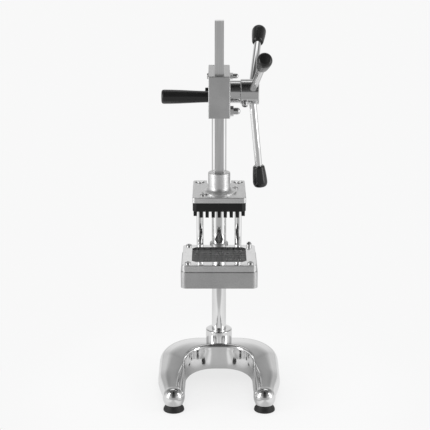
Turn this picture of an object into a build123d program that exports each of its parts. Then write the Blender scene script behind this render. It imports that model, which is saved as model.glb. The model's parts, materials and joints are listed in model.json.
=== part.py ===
from build123d import *
import os
from math import acos, cos, pi, radians, sin, tan

# Vertical rack press that pushes a potato through a grid of blades. Millimetres, +Z up,
# the resting surface at z = 0, the operator stands at -Y. Depths are measured from the
# axis of the round post towards the operator.

# Clearances
FIT = 0.05               # radial play of a fixed fit
RUN = 0.08               # radial play of a running fit
SLIDE = 0.15             # play on each side of a sliding flat
GAP = 0.3                # air between neighbours that never touch

# Post
POST_Y = 45.4            # the post stands this far behind the middle of the whole machine
POST_R = 12.5
POST_FOOT_Z = 24.0

# Base casting
FOOT_H = 12.0
BASE_REAR = -42.0        # depth of the rear edge
BRIDGE_FRONT = 32.0      # depth of the lower front edge of the bridge
BASE_HALF_W = 105.5
LEG_W = 47.5             # across a leg at its widest
INNER_CORNER_R = 40.0
OUTER_CORNER_R = 60.0
SIDE_STRAIGHT_END = 80.0
TOE_R = 18.5
TOE_DEPTH = 150.0        # centre of the round toe
TOE_LINE = 0.05          # fine parting line that the toe stands proud of the leg
CREST_Z = 69.0
TOE_CREST_Z = 41.0
ARCH_Z = 25.0            # lower edge of the inner wall under the bridge
CREST_HOLD = 1.3         # above 1 the crest stays up longer towards the toes
BASE_WALL = 5.0
WALL_LEAN = 3.0
CREASE_R = 7.5
SKIRT_H = 10.0           # lowest part of the outer wall
SKIRT_TUCK = 3.0         # how far the skirt draws in at its foot
CROWN_POWER = 2.8
TOE_POWER = 2.2
COLLAR_ROOT = 20.0       # how far the collar goes down into the casting
COLLAR_R = 23.0
COLLAR_H = 20.5          # above the crest
COLLAR_EDGE_R = 1.5
BOSS_R = 11.0
REAR_FOOT_INSET = 29.5   # from the base's side
REAR_FOOT_DEPTH = -6.0

# Suction feet
FOOT_R = 17.7
FOOT_NECK_R = 9.0
FOOT_LIP_W = 3.4
STUD_R = 3.0
STUD_RISE = 11.0         # above the casting's foot
STUD_FOOT_Z = 5.2

# Chute, clamp plate and blades
CHUTE_HALF_W = 64.0
CHUTE_FRONT = 126.0
CHUTE_REAR = -21.0
CHUTE_BOTTOM_Z = 207.5
CHUTE_H = 28.0
CHUTE_CORNER_R = 9.0
CHUTE_WALL = 8.0
LUG_HALF_W = 44.0
LUG_CORNER_R = 8.0
NECK_R = 16.0            # collar of the chute round the post
NECK_H = 14.5            # above the chute
PLATE_MARGIN = 2.0       # how far the chute stands out past the plate
PLATE_REAR = 7.0
PLATE_T = 11.5
PLATE_CORNER_R = 7.0
PLATE_SKIN = 2.5         # what is left of the plate over the blade cassette
MOUTH_HALF_W = 46.0
MOUTH_DEPTH = 83.0
MOUTH_CHAMFER = 7.0
LEDGE_T = 10.0           # shelf of the chute under the cassette
CASSETTE_RIM = 5.0
CASSETTE_H = 12.5
CASSETTE_CHAMFER = 12.0
CELL = 10.0
ALONG_COUNT = 8
ACROSS_COUNT = 7
BLADE_T = 1.0
BLADE_H = 12.0
BLADE_SEAT = 3.0         # how far a blade's end reaches into the rim
BLADE_PLAY = 0.1
CORNER_SCREW_INSET = 10.0
CORNER_SCREW_REAR = 14.0
SCREW_L = 16.0
SCREW_R = 3.0
SCREW_HEAD_R = 5.2
SCREW_HEAD_H = 2.6
TALL_HEAD_R = 4.4
TALL_HEAD_H = 7.0

# Guide rods
ROD_R = 6.0
ROD_X = 33.0
ROD_PROUD = 1.5          # above the pusher at rest
CENTRE_HOLE_R = 2.2      # in the top end of a guide rod
CENTRE_HOLE_H = 5.0
ROD_SPIGOT_R = 4.0
SPIGOT_PROUD = 3.0       # below its nut
NUT_FLATS = 13.0
NUT_H = 5.5

# Pusher
RACK_DEPTH = 63.0        # depth of the rack bar's axis
RACK_SIDE = 15.0
RACK_L = 292.0
RACK_SEAT = 5.5          # depth of its socket below the pusher's top face
PUSHER_TOP_Z = 357.5
PUSHER_T = 9.0
PUSHER_HALF_W = 44.5
PUSHER_LIP = 1.0         # pusher's margin in front of the finger block
PUSHER_EAR_REAR = -14.0
PUSHER_CORNER_R = 5.0
POST_NOTCH_R = 21.0
HEAD_R = 18.5            # round head that holds the rack bar
HEAD_H = 34.0
HEAD_FOOT_R = 29.2
HEAD_FOOT_H = 2.0
HEAD_FLARE_R = 9.0
HEAD_SCREW_DROP = 12.0   # below the top of the head
BLOCK_HALF_W = 44.0
BLOCK_DEPTH = 79.0
BLOCK_CHAMFER = 6.0
BAND_H = 15.0
FINGER_H = 10.5
FINGER_SLOT = 4.2
BUSH_R = 8.0
PUSHER_SCREW_X = 27.0
PUSHER_SCREW_OFFSET = 22.0

# Rack and pinion
MODULE = 1.5
TEETH = 18
PRESSURE = radians(20.0)
RACK_ADDENDUM = 1.45
PINION_ADDENDUM = 1.4
DEDENDUM = 1.9
BACKLASH = 0.06
PINION_HALF_W = 8.0
TEETH_START = 12.0       # above the head of the pusher
TEETH_STOP = 5.0         # below the top of the rack bar
SHAFT_R = 8.0
LEFT_JOURNAL_R = 6.0

# Gear housing
HOUSING_HALF_W = 18.0
HOUSING_FRONT = 81.0
HOUSING_REAR = -37.0
HOUSING_BOTTOM_Z = 486.0
HOUSING_H = 69.5
HOUSING_CAP = 5.5        # closed top over the post
HOUSING_EDGE_R = 1.6
PINION_RISE = 37.6       # heights above the housing's bottom
GRIP_RISE = 33.0
CLAMP_RISE = 34.0
TENSION_RISE = 9.0
CHAMBER_R = 15.5
CHAMBER_FLOOR_X = -10.0
SLEEVE_R = 18.75
SLEEVE_L = 17.0
SPLIT_W = 3.0
CLAMP_DEPTH = -25.0
CLAMP_STEP = 18.0
CLAMP_NUT_FLATS = 10.0
CLAMP_DOME_R = 4.3       # domed end of a clamp nut
CLAMP_DOME_L = 9.5
TENSION_R = 4.0
LOCK_NUT_FLATS = 15.0
TENSION_HEAD_R = 5.6     # domed head of the tension screw
TENSION_HEAD_L = 11.0
OIL_HOLE_R = 1.5
OIL_HOLE_X = -9.6
OIL_HOLE_DEPTH = -27.0
OIL_HOLE_H = 4.0
GIB_L = 4.35
LEFT_BUSH_R = 8.5
LEFT_FLANGE_R = 11.0

# Side grip
GRIP_L = 77.0
GRIP_ROOT_R = 9.4
GRIP_END_R = 11.8
GRIP_STUD_R = 4.0
GRIP_STUD_SEAT = 8.0
GRIP_STUD_REACH = 60.0

# Turning handle
HUB_R = 21.0
HUB_L = 30.4
HUB_CAP = 6.0            # closed outer end of the hub
ARM_ROOT = 18.6          # along the hub
ARM_R = 6.0
ARM_START = 11.0
ARM_END = 140.3
ARM_LEAN = 5.7
ARM_COUNT = 3
FIRST_ARM_ANGLE = -58.5  # from straight up, about the shaft
KNOB_L = 38.0
KNOB_END_R = 12.3
KNOB_ROOT_R = 9.8
KNOB_REACH = 165.3
HUB_SCREW_ROOT = 7.1     # along the hub
HUB_SCREW_ANGLE = 138.0
HUB_SCREW_HEAD_H = 7.0
CAP_HEAD_R = 5.0
CAP_HEAD_H = 5.0

LEG_INNER_X = BASE_HALF_W - LEG_W
TOE_X = LEG_INNER_X + TOE_R
SKIRT_Z = FOOT_H + SKIRT_H
REAR_FOOT_X = BASE_HALF_W - REAR_FOOT_INSET
PITCH_R = MODULE * TEETH / 2
TOOTH_PITCH = MODULE * pi
PINION_DEPTH = RACK_DEPTH - RACK_SIDE / 2 + RACK_ADDENDUM - PITCH_R
COLLAR_TOP_Z = CREST_Z + COLLAR_H
COLLAR_SCREW_Z = COLLAR_TOP_Z - COLLAR_H / 2 + 2
CHUTE_TOP_Z = CHUTE_BOTTOM_Z + CHUTE_H
LUG_SCREW_Z = CHUTE_BOTTOM_Z + CHUTE_H / 2
NECK_TOP_Z = CHUTE_TOP_Z + NECK_H
PLATE_TOP_Z = CHUTE_TOP_Z + PLATE_T
PLATE_HALF_W = CHUTE_HALF_W - PLATE_MARGIN
PLATE_FRONT = CHUTE_FRONT - PLATE_MARGIN
CORNER_SCREW_X = PLATE_HALF_W - CORNER_SCREW_INSET
CORNER_SCREW_FRONT = PLATE_FRONT - CORNER_SCREW_INSET - 2
CASSETTE_TOP_Z = PLATE_TOP_Z - PLATE_SKIN
CASSETTE_LOW_Z = CASSETTE_TOP_Z - CASSETTE_H
LEDGE_Z = CASSETTE_LOW_Z - LEDGE_T
PUSHER_LOW_Z = PUSHER_TOP_Z - PUSHER_T
BAND_LOW_Z = PUSHER_LOW_Z - BAND_H
PUSHER_FRONT = RACK_DEPTH + BLOCK_DEPTH / 2 + PUSHER_LIP
HEAD_TOP_Z = PUSHER_TOP_Z + HEAD_H
HEAD_SCREW_Z = HEAD_TOP_Z - HEAD_SCREW_DROP
ROD_TOP_Z = PUSHER_TOP_Z + ROD_PROUD
RACK_FOOT_Z = PUSHER_TOP_Z - RACK_SEAT
RACK_TOP_Z = RACK_FOOT_Z + RACK_L
HOUSING_TOP_Z = HOUSING_BOTTOM_Z + HOUSING_H
POST_TOP_Z = HOUSING_TOP_Z - HOUSING_CAP
PINION_Z = HOUSING_BOTTOM_Z + PINION_RISE
GRIP_Z = HOUSING_BOTTOM_Z + GRIP_RISE
CLAMP_Z = HOUSING_BOTTOM_Z + CLAMP_RISE
TENSION_Z = HOUSING_BOTTOM_Z + TENSION_RISE
GIB_END_X = RACK_SIDE / 2 + SLIDE + GIB_L
SLEEVE_END_X = HOUSING_HALF_W + SLEEVE_L
HUB_START_X = SLEEVE_END_X + GAP
HUB_END_X = HUB_START_X + HUB_L
SHAFT_END_X = HUB_END_X - HUB_CAP


def spot(x, depth, z):
    """Location at a depth in front of the post's axis."""
    return Pos(x, POST_Y - depth, z)


def block(half_w, rear, front, low, high, corner_r=0.0):
    """Upright block between two depths, with rounded upright edges."""
    solid = spot(0, (rear + front) / 2, (low + high) / 2) * Box(
        2 * half_w, front - rear, high - low
    )
    if corner_r > 0:
        solid = fillet(solid.edges().filter_by(Axis.Z), corner_r)
    return solid


def rod(radius, low, high):
    """Round bar along Z from low to high."""
    return Pos(0, 0, (low + high) / 2) * Cylinder(radius, high - low)


def cross_rod(radius, start_x, end_x):
    """Round bar along X."""
    return Pos((start_x + end_x) / 2, 0, 0) * Rot(0, 90, 0) * Cylinder(radius, end_x - start_x)


def hexagon(flats, low, high):
    """Hexagonal prism along Z."""
    return Pos(0, 0, low) * extrude(RegularPolygon(flats / 2, 6, major_radius=False), high - low)


def turned(points):
    """Solid of revolution about Z from an outline of (radius, z) points."""
    outline = make_face(Polyline(*[(r, 0, z) for r, z in points], close=True))
    return revolve(outline, Axis.Z)


def slab(half_w, depth, low, high):
    """Upright block in line with the rack bar."""
    return block(half_w, RACK_DEPTH - depth / 2, RACK_DEPTH + depth / 2, low, high)


def rearward(z):
    """Frame at a height whose X axis points from the post's axis to the rear."""
    return Pos(0, POST_Y, z) * Rot(0, 0, 90)


def grid_lines(count):
    """Places of evenly spaced blades about the middle."""
    return [CELL * (k - (count - 1) / 2) for k in range(count)]


def cap_screw(shank_r, head_r, head_h, length):
    """Round-headed screw standing on z = 0 with its shank below."""
    head = rod(head_r, 0, head_h)
    head = fillet(head.edges().group_by(Axis.Z)[-1], min(head_h, head_r) * 0.35)
    socket = hexagon(head_r, head_h * 0.45, head_h + 1)
    return head - socket + rod(shank_r, -length, 0)


# Base casting -------------------------------------------------------------------------


def blend(start, end, share):
    """Value between two others that leaves both ends smoothly."""
    share = min(max(share, 0.0), 1.0)
    return start + (end - start) * share * share * (3 - 2 * share)


def quarter(half_w, height, roundness):
    """Points of a quarter crown, from the top (0, height) to the side (half_w, 0)."""
    steps = [pi / 2 * k / 8 for k in range(9)]
    power = 2 / roundness
    return [(half_w * sin(a) ** power, height * abs(cos(a)) ** power) for a in steps]


def skirt_foot(inset):
    """Height of a skirt's lower edge and how far it has drawn in there."""
    low = FOOT_H if inset == 0 else -FOOT_H
    return low, SKIRT_TUCK * (SKIRT_Z - low) / SKIRT_H


def base_stations():
    """Pairs of plan points (x, depth) on the inner and outer edges, from the middle out."""
    inner_x = LEG_INNER_X - INNER_CORNER_R
    inner_depth = BRIDGE_FRONT + INNER_CORNER_R
    outer_x = BASE_HALF_W - OUTER_CORNER_R
    outer_depth = BASE_REAR + OUTER_CORNER_R
    stations = [((0.0, BRIDGE_FRONT), (0.0, BASE_REAR))]
    for angle in (0, 22.5, 45, 67.5, 90):
        s, c = sin(radians(angle)), cos(radians(angle))
        inner = (inner_x + INNER_CORNER_R * s, inner_depth - INNER_CORNER_R * c)
        outer = (outer_x + OUTER_CORNER_R * s, outer_depth - OUTER_CORNER_R * c)
        stations.append((inner, outer))
    for share in (0.2, 0.4, 0.6, 0.8, 1.0):
        inner = (LEG_INNER_X, inner_depth + (TOE_DEPTH - inner_depth) * share)
        depth = outer_depth + (TOE_DEPTH - outer_depth) * share
        beyond = (depth - SIDE_STRAIGHT_END) / (TOE_DEPTH - SIDE_STRAIGHT_END)
        x = blend(BASE_HALF_W, TOE_X + TOE_R, beyond)
        stations.append((inner, (x, depth)))
    return stations


def base_section(inner, outer, side, inset):
    """Face across the base from its inner to its outer edge, drawn inset by a wall."""
    width = ((outer[0] - inner[0]) ** 2 + (outer[1] - inner[1]) ** 2) ** 0.5
    along = (inner[1] - BRIDGE_FRONT) / (TOE_DEPTH - BRIDGE_FRONT)
    toe = (inner[1] - BRIDGE_FRONT - INNER_CORNER_R) / (TOE_DEPTH - BRIDGE_FRONT - INNER_CORNER_R)
    crest = CREST_Z + (TOE_CREST_Z - CREST_Z) * along ** CREST_HOLD - inset
    lean = blend(WALL_LEAN, 0.0, toe)
    shoulder = blend(CREASE_R, width / 2, toe) - blend(0.0, inset, toe)
    wall_top = blend(crest - CREASE_R, SKIRT_Z, toe)
    outer_low, tuck = skirt_foot(inset)
    inner_low = ARCH_Z + (FOOT_H - ARCH_Z) * along if inset == 0 else outer_low
    top_x = inset + lean + shoulder
    roundness = blend(CROWN_POWER, TOE_POWER, toe)
    rise = [(top_x - a, wall_top + b) for a, b in quarter(shoulder, crest - wall_top, roundness)]
    crown = quarter(width - inset - top_x, crest - SKIRT_Z, roundness)
    fall = [(top_x + a, SKIRT_Z + b) for a, b in crown]
    rise.reverse()

    def place(point):
        share = point[0] / width
        x = inner[0] + (outer[0] - inner[0]) * share
        depth = inner[1] + (outer[1] - inner[1]) * share
        return Vector(side * x, POST_Y - depth, point[1])

    level = place((1, 0)) - place((0, 0))
    down = Vector(0, 0, -1)
    inner_foot = (inset + blend(0.0, tuck, toe), inner_low)
    outer_foot = (width - inset - tuck, outer_low)
    edges = [
        Line(place(inner_foot), place(rise[0])),
        Spline(*[place(p) for p in rise], tangents=[-down, level]),
        Spline(*[place(p) for p in fall], tangents=[level, down]),
        Line(place(fall[-1]), place(outer_foot)),
        Line(place(outer_foot), place(inner_foot)),
    ]
    return make_face(edges)


def toe_dome(side, inset):
    """Round end of a leg."""
    crest_h = TOE_CREST_Z + TOE_LINE - inset - SKIRT_Z
    low, tuck = skirt_foot(inset)
    radius = TOE_R + TOE_LINE - inset
    crown = [Vector(a, 0, SKIRT_Z + b) for a, b in quarter(radius, crest_h, TOE_POWER)]
    edges = [
        Spline(*crown, tangents=[Vector(1, 0, 0), Vector(0, 0, -1)]),
        Line(crown[-1], (radius - tuck, 0, low)),
        Line((radius - tuck, 0, low), (0, 0, low)),
        Line((0, 0, low), crown[0]),
    ]
    dome = Rot(0, 0, 180) * revolve(make_face(edges), Axis.Z, 180)
    return spot(side * TOE_X, TOE_DEPTH, 0) * dome


def base_body(inset):
    """Whole horseshoe, either its outside or the hollow under it."""
    stations = base_stations()
    left = [base_section(a, b, -1, inset) for a, b in reversed(stations[1:])]
    right = [base_section(a, b, 1, inset) for a, b in stations]
    body = loft(left + right)
    return body + toe_dome(-1, inset) + toe_dome(1, inset)


def foot_spots():
    """Plan place of each foot, by name."""
    return {
        "foot_front_left": (-TOE_X, TOE_DEPTH),
        "foot_front_right": (TOE_X, TOE_DEPTH),
        "foot_rear_left": (-REAR_FOOT_X, REAR_FOOT_DEPTH),
        "foot_rear_right": (REAR_FOOT_X, REAR_FOOT_DEPTH),
    }


def base_casting():
    hollow = base_body(BASE_WALL)
    hollow -= spot(0, 0, 0) * rod(COLLAR_R, POST_FOOT_Z - BASE_WALL, CREST_Z)
    for x, depth in foot_spots().values():
        hollow -= spot(x, depth, 0) * rod(BOSS_R, FOOT_H, CREST_Z)
    base = base_body(0) - hollow
    collar = rod(COLLAR_R, CREST_Z - COLLAR_ROOT, COLLAR_TOP_Z)
    collar = fillet(collar.edges().group_by(Axis.Z)[-1], COLLAR_EDGE_R)
    base += spot(0, 0, 0) * collar
    base -= spot(0, 0, 0) * rod(POST_R + FIT, POST_FOOT_Z, COLLAR_TOP_Z + 1)
    for x, depth in foot_spots().values():
        base -= spot(x, depth, 0) * rod(STUD_R + FIT, 0, FOOT_H + STUD_RISE + 1)
    base -= rearward(COLLAR_SCREW_Z) * cross_rod(SCREW_R + FIT, POST_R, COLLAR_R + 5)
    return base


def suction_foot(x, depth):
    """Rubber cup with a flat sealing lip."""
    lip_in = FOOT_R - FOOT_LIP_W
    cup = turned(
        [
            (STUD_R + FIT, FOOT_H),
            (FOOT_R - 4.0, FOOT_H),
            (FOOT_R - 2.6, FOOT_H - 1.6),
            (FOOT_R - 0.6, 4.0),
            (FOOT_R, 1.6),
            (FOOT_R, 0),
            (lip_in, 0),
            (lip_in - 2.0, 1.8),
            (FOOT_NECK_R - 3.0, 4.6),
            (STUD_R + FIT, 5.0),
        ]
    )
    return spot(x, depth, 0) * cup


def foot_studs():
    studs = []
    for x, depth in foot_spots().values():
        studs.append(spot(x, depth, 0) * rod(STUD_R, STUD_FOOT_Z, FOOT_H + STUD_RISE))
    return studs


def post():
    bar = rod(POST_R, POST_FOOT_Z, POST_TOP_Z)
    bar = chamfer(bar.edges(), 1.0)
    return spot(0, 0, 0) * bar


def base_set_screw():
    """Screw that holds the post in the base's collar, from the rear."""
    screw = cross_rod(SCREW_R, POST_R + FIT, COLLAR_R + 1)
    screw += cross_rod(CAP_HEAD_R, COLLAR_R + GAP, COLLAR_R + CAP_HEAD_H)
    return rearward(COLLAR_SCREW_Z) * screw


# Chute, blades and clamp plate --------------------------------------------------------


def mouth(low, high):
    """Opening with cut corners that the pusher dips into."""
    solid = slab(MOUTH_HALF_W, MOUTH_DEPTH, low, high)
    return chamfer(solid.edges().filter_by(Axis.Z), MOUTH_CHAMFER)


def cassette_blank(low, high, play=0.0):
    """Outer block of the blade cassette, or its pocket when it has play."""
    half_w = MOUTH_HALF_W + CASSETTE_RIM + play
    depth = MOUTH_DEPTH + 2 * (CASSETTE_RIM + play)
    solid = slab(half_w, depth, low, high)
    return chamfer(solid.edges().filter_by(Axis.Z), CASSETTE_CHAMFER)


def corner_screw_spots():
    """Plan places (x, depth) of the clamp plate's screws."""
    return [
        (x, depth)
        for x in (-CORNER_SCREW_X, CORNER_SCREW_X)
        for depth in (CORNER_SCREW_REAR, CORNER_SCREW_FRONT)
    ]


def chute_body():
    low, high = CHUTE_BOTTOM_Z, CHUTE_TOP_Z
    body = block(CHUTE_HALF_W, PLATE_REAR, CHUTE_FRONT, low, high, CHUTE_CORNER_R)
    body = fillet(body.edges().group_by(Axis.Z)[-1], 1.0)
    lug_front = PLATE_REAR + CHUTE_CORNER_R
    body += block(LUG_HALF_W, CHUTE_REAR, lug_front, low, high, LUG_CORNER_R)
    neck = rod(NECK_R, low, NECK_TOP_Z)
    body += spot(0, 0, 0) * chamfer(neck.edges().group_by(Axis.Z)[-1], 1.0)
    body -= cassette_blank(CASSETTE_LOW_Z, high + 1, SLIDE)
    body -= mouth(LEDGE_Z - 1, high + 1)
    throat_rear = POST_R + FIT + CHUTE_WALL
    throat_front = CHUTE_FRONT - CHUTE_WALL
    body -= block(CHUTE_HALF_W - CHUTE_WALL, throat_rear, throat_front, low - 1, LEDGE_Z, 4.0)
    body -= spot(0, 0, 0) * rod(POST_R + FIT, low - 1, NECK_TOP_Z + 1)
    for side in (-1, 1):
        body -= spot(side * ROD_X, 0, 0) * rod(ROD_SPIGOT_R + FIT, low - 1, high + 1)
    for x, depth in corner_screw_spots():
        body -= spot(x, depth, high) * rod(SCREW_R + FIT, PLATE_T - SCREW_L - 1, 1)
    return body - rearward(LUG_SCREW_Z) * cross_rod(SCREW_R + FIT, POST_R, -CHUTE_REAR + 1)


def chute_set_screw():
    """Screw that holds the chute on the post, from the rear."""
    screw = cross_rod(SCREW_R, POST_R + FIT, 1 - CHUTE_REAR)
    screw += cross_rod(CAP_HEAD_R, GAP - CHUTE_REAR, CAP_HEAD_H - CHUTE_REAR)
    return rearward(LUG_SCREW_Z) * screw


def clamp_plate():
    plate = block(
        PLATE_HALF_W, PLATE_REAR, PLATE_FRONT, CHUTE_TOP_Z, PLATE_TOP_Z, PLATE_CORNER_R
    )
    plate = fillet(plate.edges().group_by(Axis.Z)[-1], 1.0)
    plate -= mouth(CHUTE_TOP_Z - 1, PLATE_TOP_Z + 1)
    plate -= cassette_blank(CHUTE_TOP_Z - 1, CASSETTE_TOP_Z, SLIDE)
    plate -= spot(0, 0, 0) * rod(NECK_R + GAP, CHUTE_TOP_Z - 1, PLATE_TOP_Z + 1)
    for x, depth in corner_screw_spots():
        plate -= spot(x, depth, 0) * rod(SCREW_R + FIT, CHUTE_TOP_Z - 1, PLATE_TOP_Z + 1)
    return plate


def clamp_screws():
    """The three low screws; the fourth corner has a tall one."""
    low = [s for s in corner_screw_spots() if s != (CORNER_SCREW_X, CORNER_SCREW_REAR)]
    screw = cap_screw(SCREW_R, SCREW_HEAD_R, SCREW_HEAD_H, SCREW_L)
    return [spot(x, depth, PLATE_TOP_Z) * screw for x, depth in low]


def tall_clamp_screw():
    screw = cap_screw(SCREW_R, TALL_HEAD_R, TALL_HEAD_H, SCREW_L)
    return spot(CORNER_SCREW_X, CORNER_SCREW_REAR, PLATE_TOP_Z) * screw


def blade_cassette():
    ring = cassette_blank(CASSETTE_LOW_Z, CASSETTE_TOP_Z) - mouth(0, PLATE_TOP_Z)
    seat = BLADE_SEAT + BLADE_PLAY
    low = CASSETTE_TOP_Z - BLADE_H - BLADE_PLAY
    slot_w = BLADE_T / 2 + BLADE_PLAY
    for x in grid_lines(ALONG_COUNT):
        ring -= Pos(x, 0, 0) * slab(slot_w, MOUTH_DEPTH + 2 * seat, low, PLATE_TOP_Z)
    for offset in grid_lines(ACROSS_COUNT):
        ring -= Pos(0, offset, 0) * slab(MOUTH_HALF_W + seat, 2 * slot_w, low, PLATE_TOP_Z)
    return ring


def blades_along():
    """Blades that run from the rear to the front, notched from below."""
    middle = CASSETTE_TOP_Z - BLADE_H / 2
    low = CASSETTE_TOP_Z - BLADE_H
    blade = slab(BLADE_T / 2, MOUTH_DEPTH + 2 * BLADE_SEAT, low, CASSETTE_TOP_Z)
    notch = slab(BLADE_T, BLADE_T + 2 * BLADE_PLAY, low - 1, middle + BLADE_PLAY)
    for offset in grid_lines(ACROSS_COUNT):
        blade -= Pos(0, offset, 0) * notch
    return [Pos(x, 0, 0) * blade for x in grid_lines(ALONG_COUNT)]


def blades_across():
    """Blades that run from side to side, notched from above."""
    middle = CASSETTE_TOP_Z - BLADE_H / 2
    low = CASSETTE_TOP_Z - BLADE_H
    blade = slab(MOUTH_HALF_W + BLADE_SEAT, BLADE_T, low, CASSETTE_TOP_Z)
    notch = slab(BLADE_T / 2 + BLADE_PLAY, 2 * BLADE_T, middle - BLADE_PLAY, PLATE_TOP_Z)
    for x in grid_lines(ALONG_COUNT):
        blade -= Pos(x, 0, 0) * notch
    return [Pos(0, offset, 0) * blade for offset in grid_lines(ACROSS_COUNT)]


# Guide rods ---------------------------------------------------------------------------


def guide_rod(side):
    bar = rod(ROD_R, CHUTE_TOP_Z, ROD_TOP_Z)
    bar = chamfer(bar.edges().group_by(Axis.Z)[-1], 1.0)
    bar -= rod(CENTRE_HOLE_R, ROD_TOP_Z - CENTRE_HOLE_H, ROD_TOP_Z + 1)
    spigot_low = CHUTE_BOTTOM_Z - NUT_H - SPIGOT_PROUD
    return spot(side * ROD_X, 0, 0) * (bar + rod(ROD_SPIGOT_R, spigot_low, CHUTE_TOP_Z))


def guide_rod_nuts():
    nut = hexagon(NUT_FLATS, CHUTE_BOTTOM_Z - NUT_H, CHUTE_BOTTOM_Z)
    nut -= rod(ROD_SPIGOT_R + FIT, 0, CHUTE_TOP_Z)
    return [spot(side * ROD_X, 0, 0) * nut for side in (-1, 1)]


# Pusher -------------------------------------------------------------------------------


def rack_bar():
    """Square bar with straight-sided teeth on the face towards the post."""
    bar = slab(RACK_SIDE / 2, RACK_SIDE, RACK_FOOT_Z, RACK_TOP_Z)
    tip_y = POST_Y - RACK_DEPTH + RACK_SIDE / 2
    slope = tan(PRESSURE)
    wide = TOOTH_PITCH / 4 + BACKLASH + RACK_ADDENDUM * slope
    narrow = TOOTH_PITCH / 4 + BACKLASH - DEDENDUM * slope
    root_y = tip_y - RACK_ADDENDUM - DEDENDUM
    outline = Polyline(
        (0, tip_y + 1, wide + slope),
        (0, root_y, narrow),
        (0, root_y, -narrow),
        (0, tip_y + 1, -wide - slope),
        close=True,
    )
    space = extrude(make_face(outline), RACK_SIDE, dir=(1, 0, 0), both=True)
    first = int((HEAD_TOP_Z + TEETH_START - PINION_Z) / TOOTH_PITCH)
    last = int((RACK_TOP_Z - TEETH_STOP - PINION_Z) / TOOTH_PITCH)
    spaces = [Pos(0, 0, PINION_Z + k * TOOTH_PITCH) * space for k in range(first, last + 1)]
    return bar - spaces


def pusher_carrier():
    """Flange with ears for the guide rods and a round head for the rack bar."""
    low, high = PUSHER_LOW_Z, PUSHER_TOP_Z
    plate = block(
        PUSHER_HALF_W, PUSHER_EAR_REAR, PUSHER_FRONT, low, high, PUSHER_CORNER_R
    )
    plate = fillet(plate.edges().group_by(Axis.Z)[-1], 1.2)
    plate -= spot(0, 0, 0) * rod(POST_NOTCH_R, low - 1, high + 1)
    plate -= block(POST_NOTCH_R, PUSHER_EAR_REAR - 1, 0, low - 1, high + 1)
    foot_top = high + HEAD_FOOT_H
    head = rod(HEAD_FOOT_R, high - 1, foot_top) + rod(HEAD_R, high - 1, HEAD_TOP_Z)
    root = head.edges().filter_by(GeomType.CIRCLE).filter_by_position(Axis.Z, foot_top, foot_top)
    head = fillet(root.sort_by(SortBy.RADIUS)[0], HEAD_FLARE_R)
    head = fillet(head.edges().group_by(Axis.Z)[-1], 1.2)
    carrier = plate + spot(0, RACK_DEPTH, 0) * head
    carrier -= slab(RACK_SIDE / 2 + FIT, RACK_SIDE + 2 * FIT, RACK_FOOT_Z, HEAD_TOP_Z + 1)
    for side in (-1, 1):
        carrier -= spot(side * ROD_X, 0, 0) * rod(BUSH_R + FIT, low - 1, high + 1)
    for x, depth in pusher_screw_spots():
        carrier -= spot(x, depth, 0) * rod(SCREW_R + FIT, low - 1, high + 1)
    hole = cross_rod(SCREW_R + FIT, RACK_SIDE / 2, HEAD_R + 1)
    return carrier - Pos(0, -RACK_DEPTH, 0) * rearward(HEAD_SCREW_Z) * hole


def pusher_screw_spots():
    """The finger block's two screws lie on a diagonal."""
    return [
        (-PUSHER_SCREW_X, RACK_DEPTH + PUSHER_SCREW_OFFSET),
        (PUSHER_SCREW_X, RACK_DEPTH - PUSHER_SCREW_OFFSET),
    ]


def finger_block():
    """Block cut from below by crossed slots, with no finger at its four corners."""
    finger_low = BAND_LOW_Z - FINGER_H
    solid = slab(BLOCK_HALF_W, BLOCK_DEPTH, finger_low, PUSHER_LOW_Z)
    solid = chamfer(solid.edges().filter_by(Axis.Z), BLOCK_CHAMFER)
    slots = []
    for x in grid_lines(ALONG_COUNT):
        cut = slab(FINGER_SLOT / 2, BLOCK_DEPTH + 2, finger_low - 1, BAND_LOW_Z)
        slots.append(Pos(x, 0, 0) * cut)
    for offset in grid_lines(ACROSS_COUNT):
        cut = slab(BLOCK_HALF_W + 1, FINGER_SLOT, finger_low - 1, BAND_LOW_Z)
        slots.append(Pos(0, offset, 0) * cut)
    corner = slab(CELL, 2 * CELL, finger_low - 1, BAND_LOW_Z)
    for x in (grid_lines(ALONG_COUNT)[0] - CELL, grid_lines(ALONG_COUNT)[-1] + CELL):
        for offset in (grid_lines(ACROSS_COUNT)[0] - CELL, grid_lines(ACROSS_COUNT)[-1] + CELL):
            slots.append(Pos(x, offset, 0) * corner)
    solid -= slots
    for x, depth in pusher_screw_spots():
        solid -= spot(x, depth, 0) * rod(SCREW_R + FIT, BAND_LOW_Z + 3, PUSHER_LOW_Z + 1)
    return solid


def pusher_screws():
    screw = cap_screw(SCREW_R, SCREW_HEAD_R, SCREW_HEAD_H, SCREW_L)
    return [spot(x, depth, PUSHER_TOP_Z) * screw for x, depth in pusher_screw_spots()]


def rack_set_screw():
    """Screw in the round head that holds the rack bar, from the rear."""
    screw = cross_rod(SCREW_R, RACK_SIDE / 2 + FIT, HEAD_R - 0.5)
    return Pos(0, -RACK_DEPTH, 0) * rearward(HEAD_SCREW_Z) * screw


def guide_bush(side):
    bush = rod(BUSH_R, PUSHER_LOW_Z, PUSHER_TOP_Z) - rod(ROD_R + RUN, 0, ROD_TOP_Z)
    return spot(side * ROD_X, 0, 0) * bush


# Gear housing -------------------------------------------------------------------------


def on_shaft(solid):
    """Moves a solid drawn about the X axis onto the pinion's axis."""
    return spot(0, PINION_DEPTH, PINION_Z) * solid


def clamp_bolt_heights():
    return (CLAMP_Z - CLAMP_STEP, CLAMP_Z + CLAMP_STEP)


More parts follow.
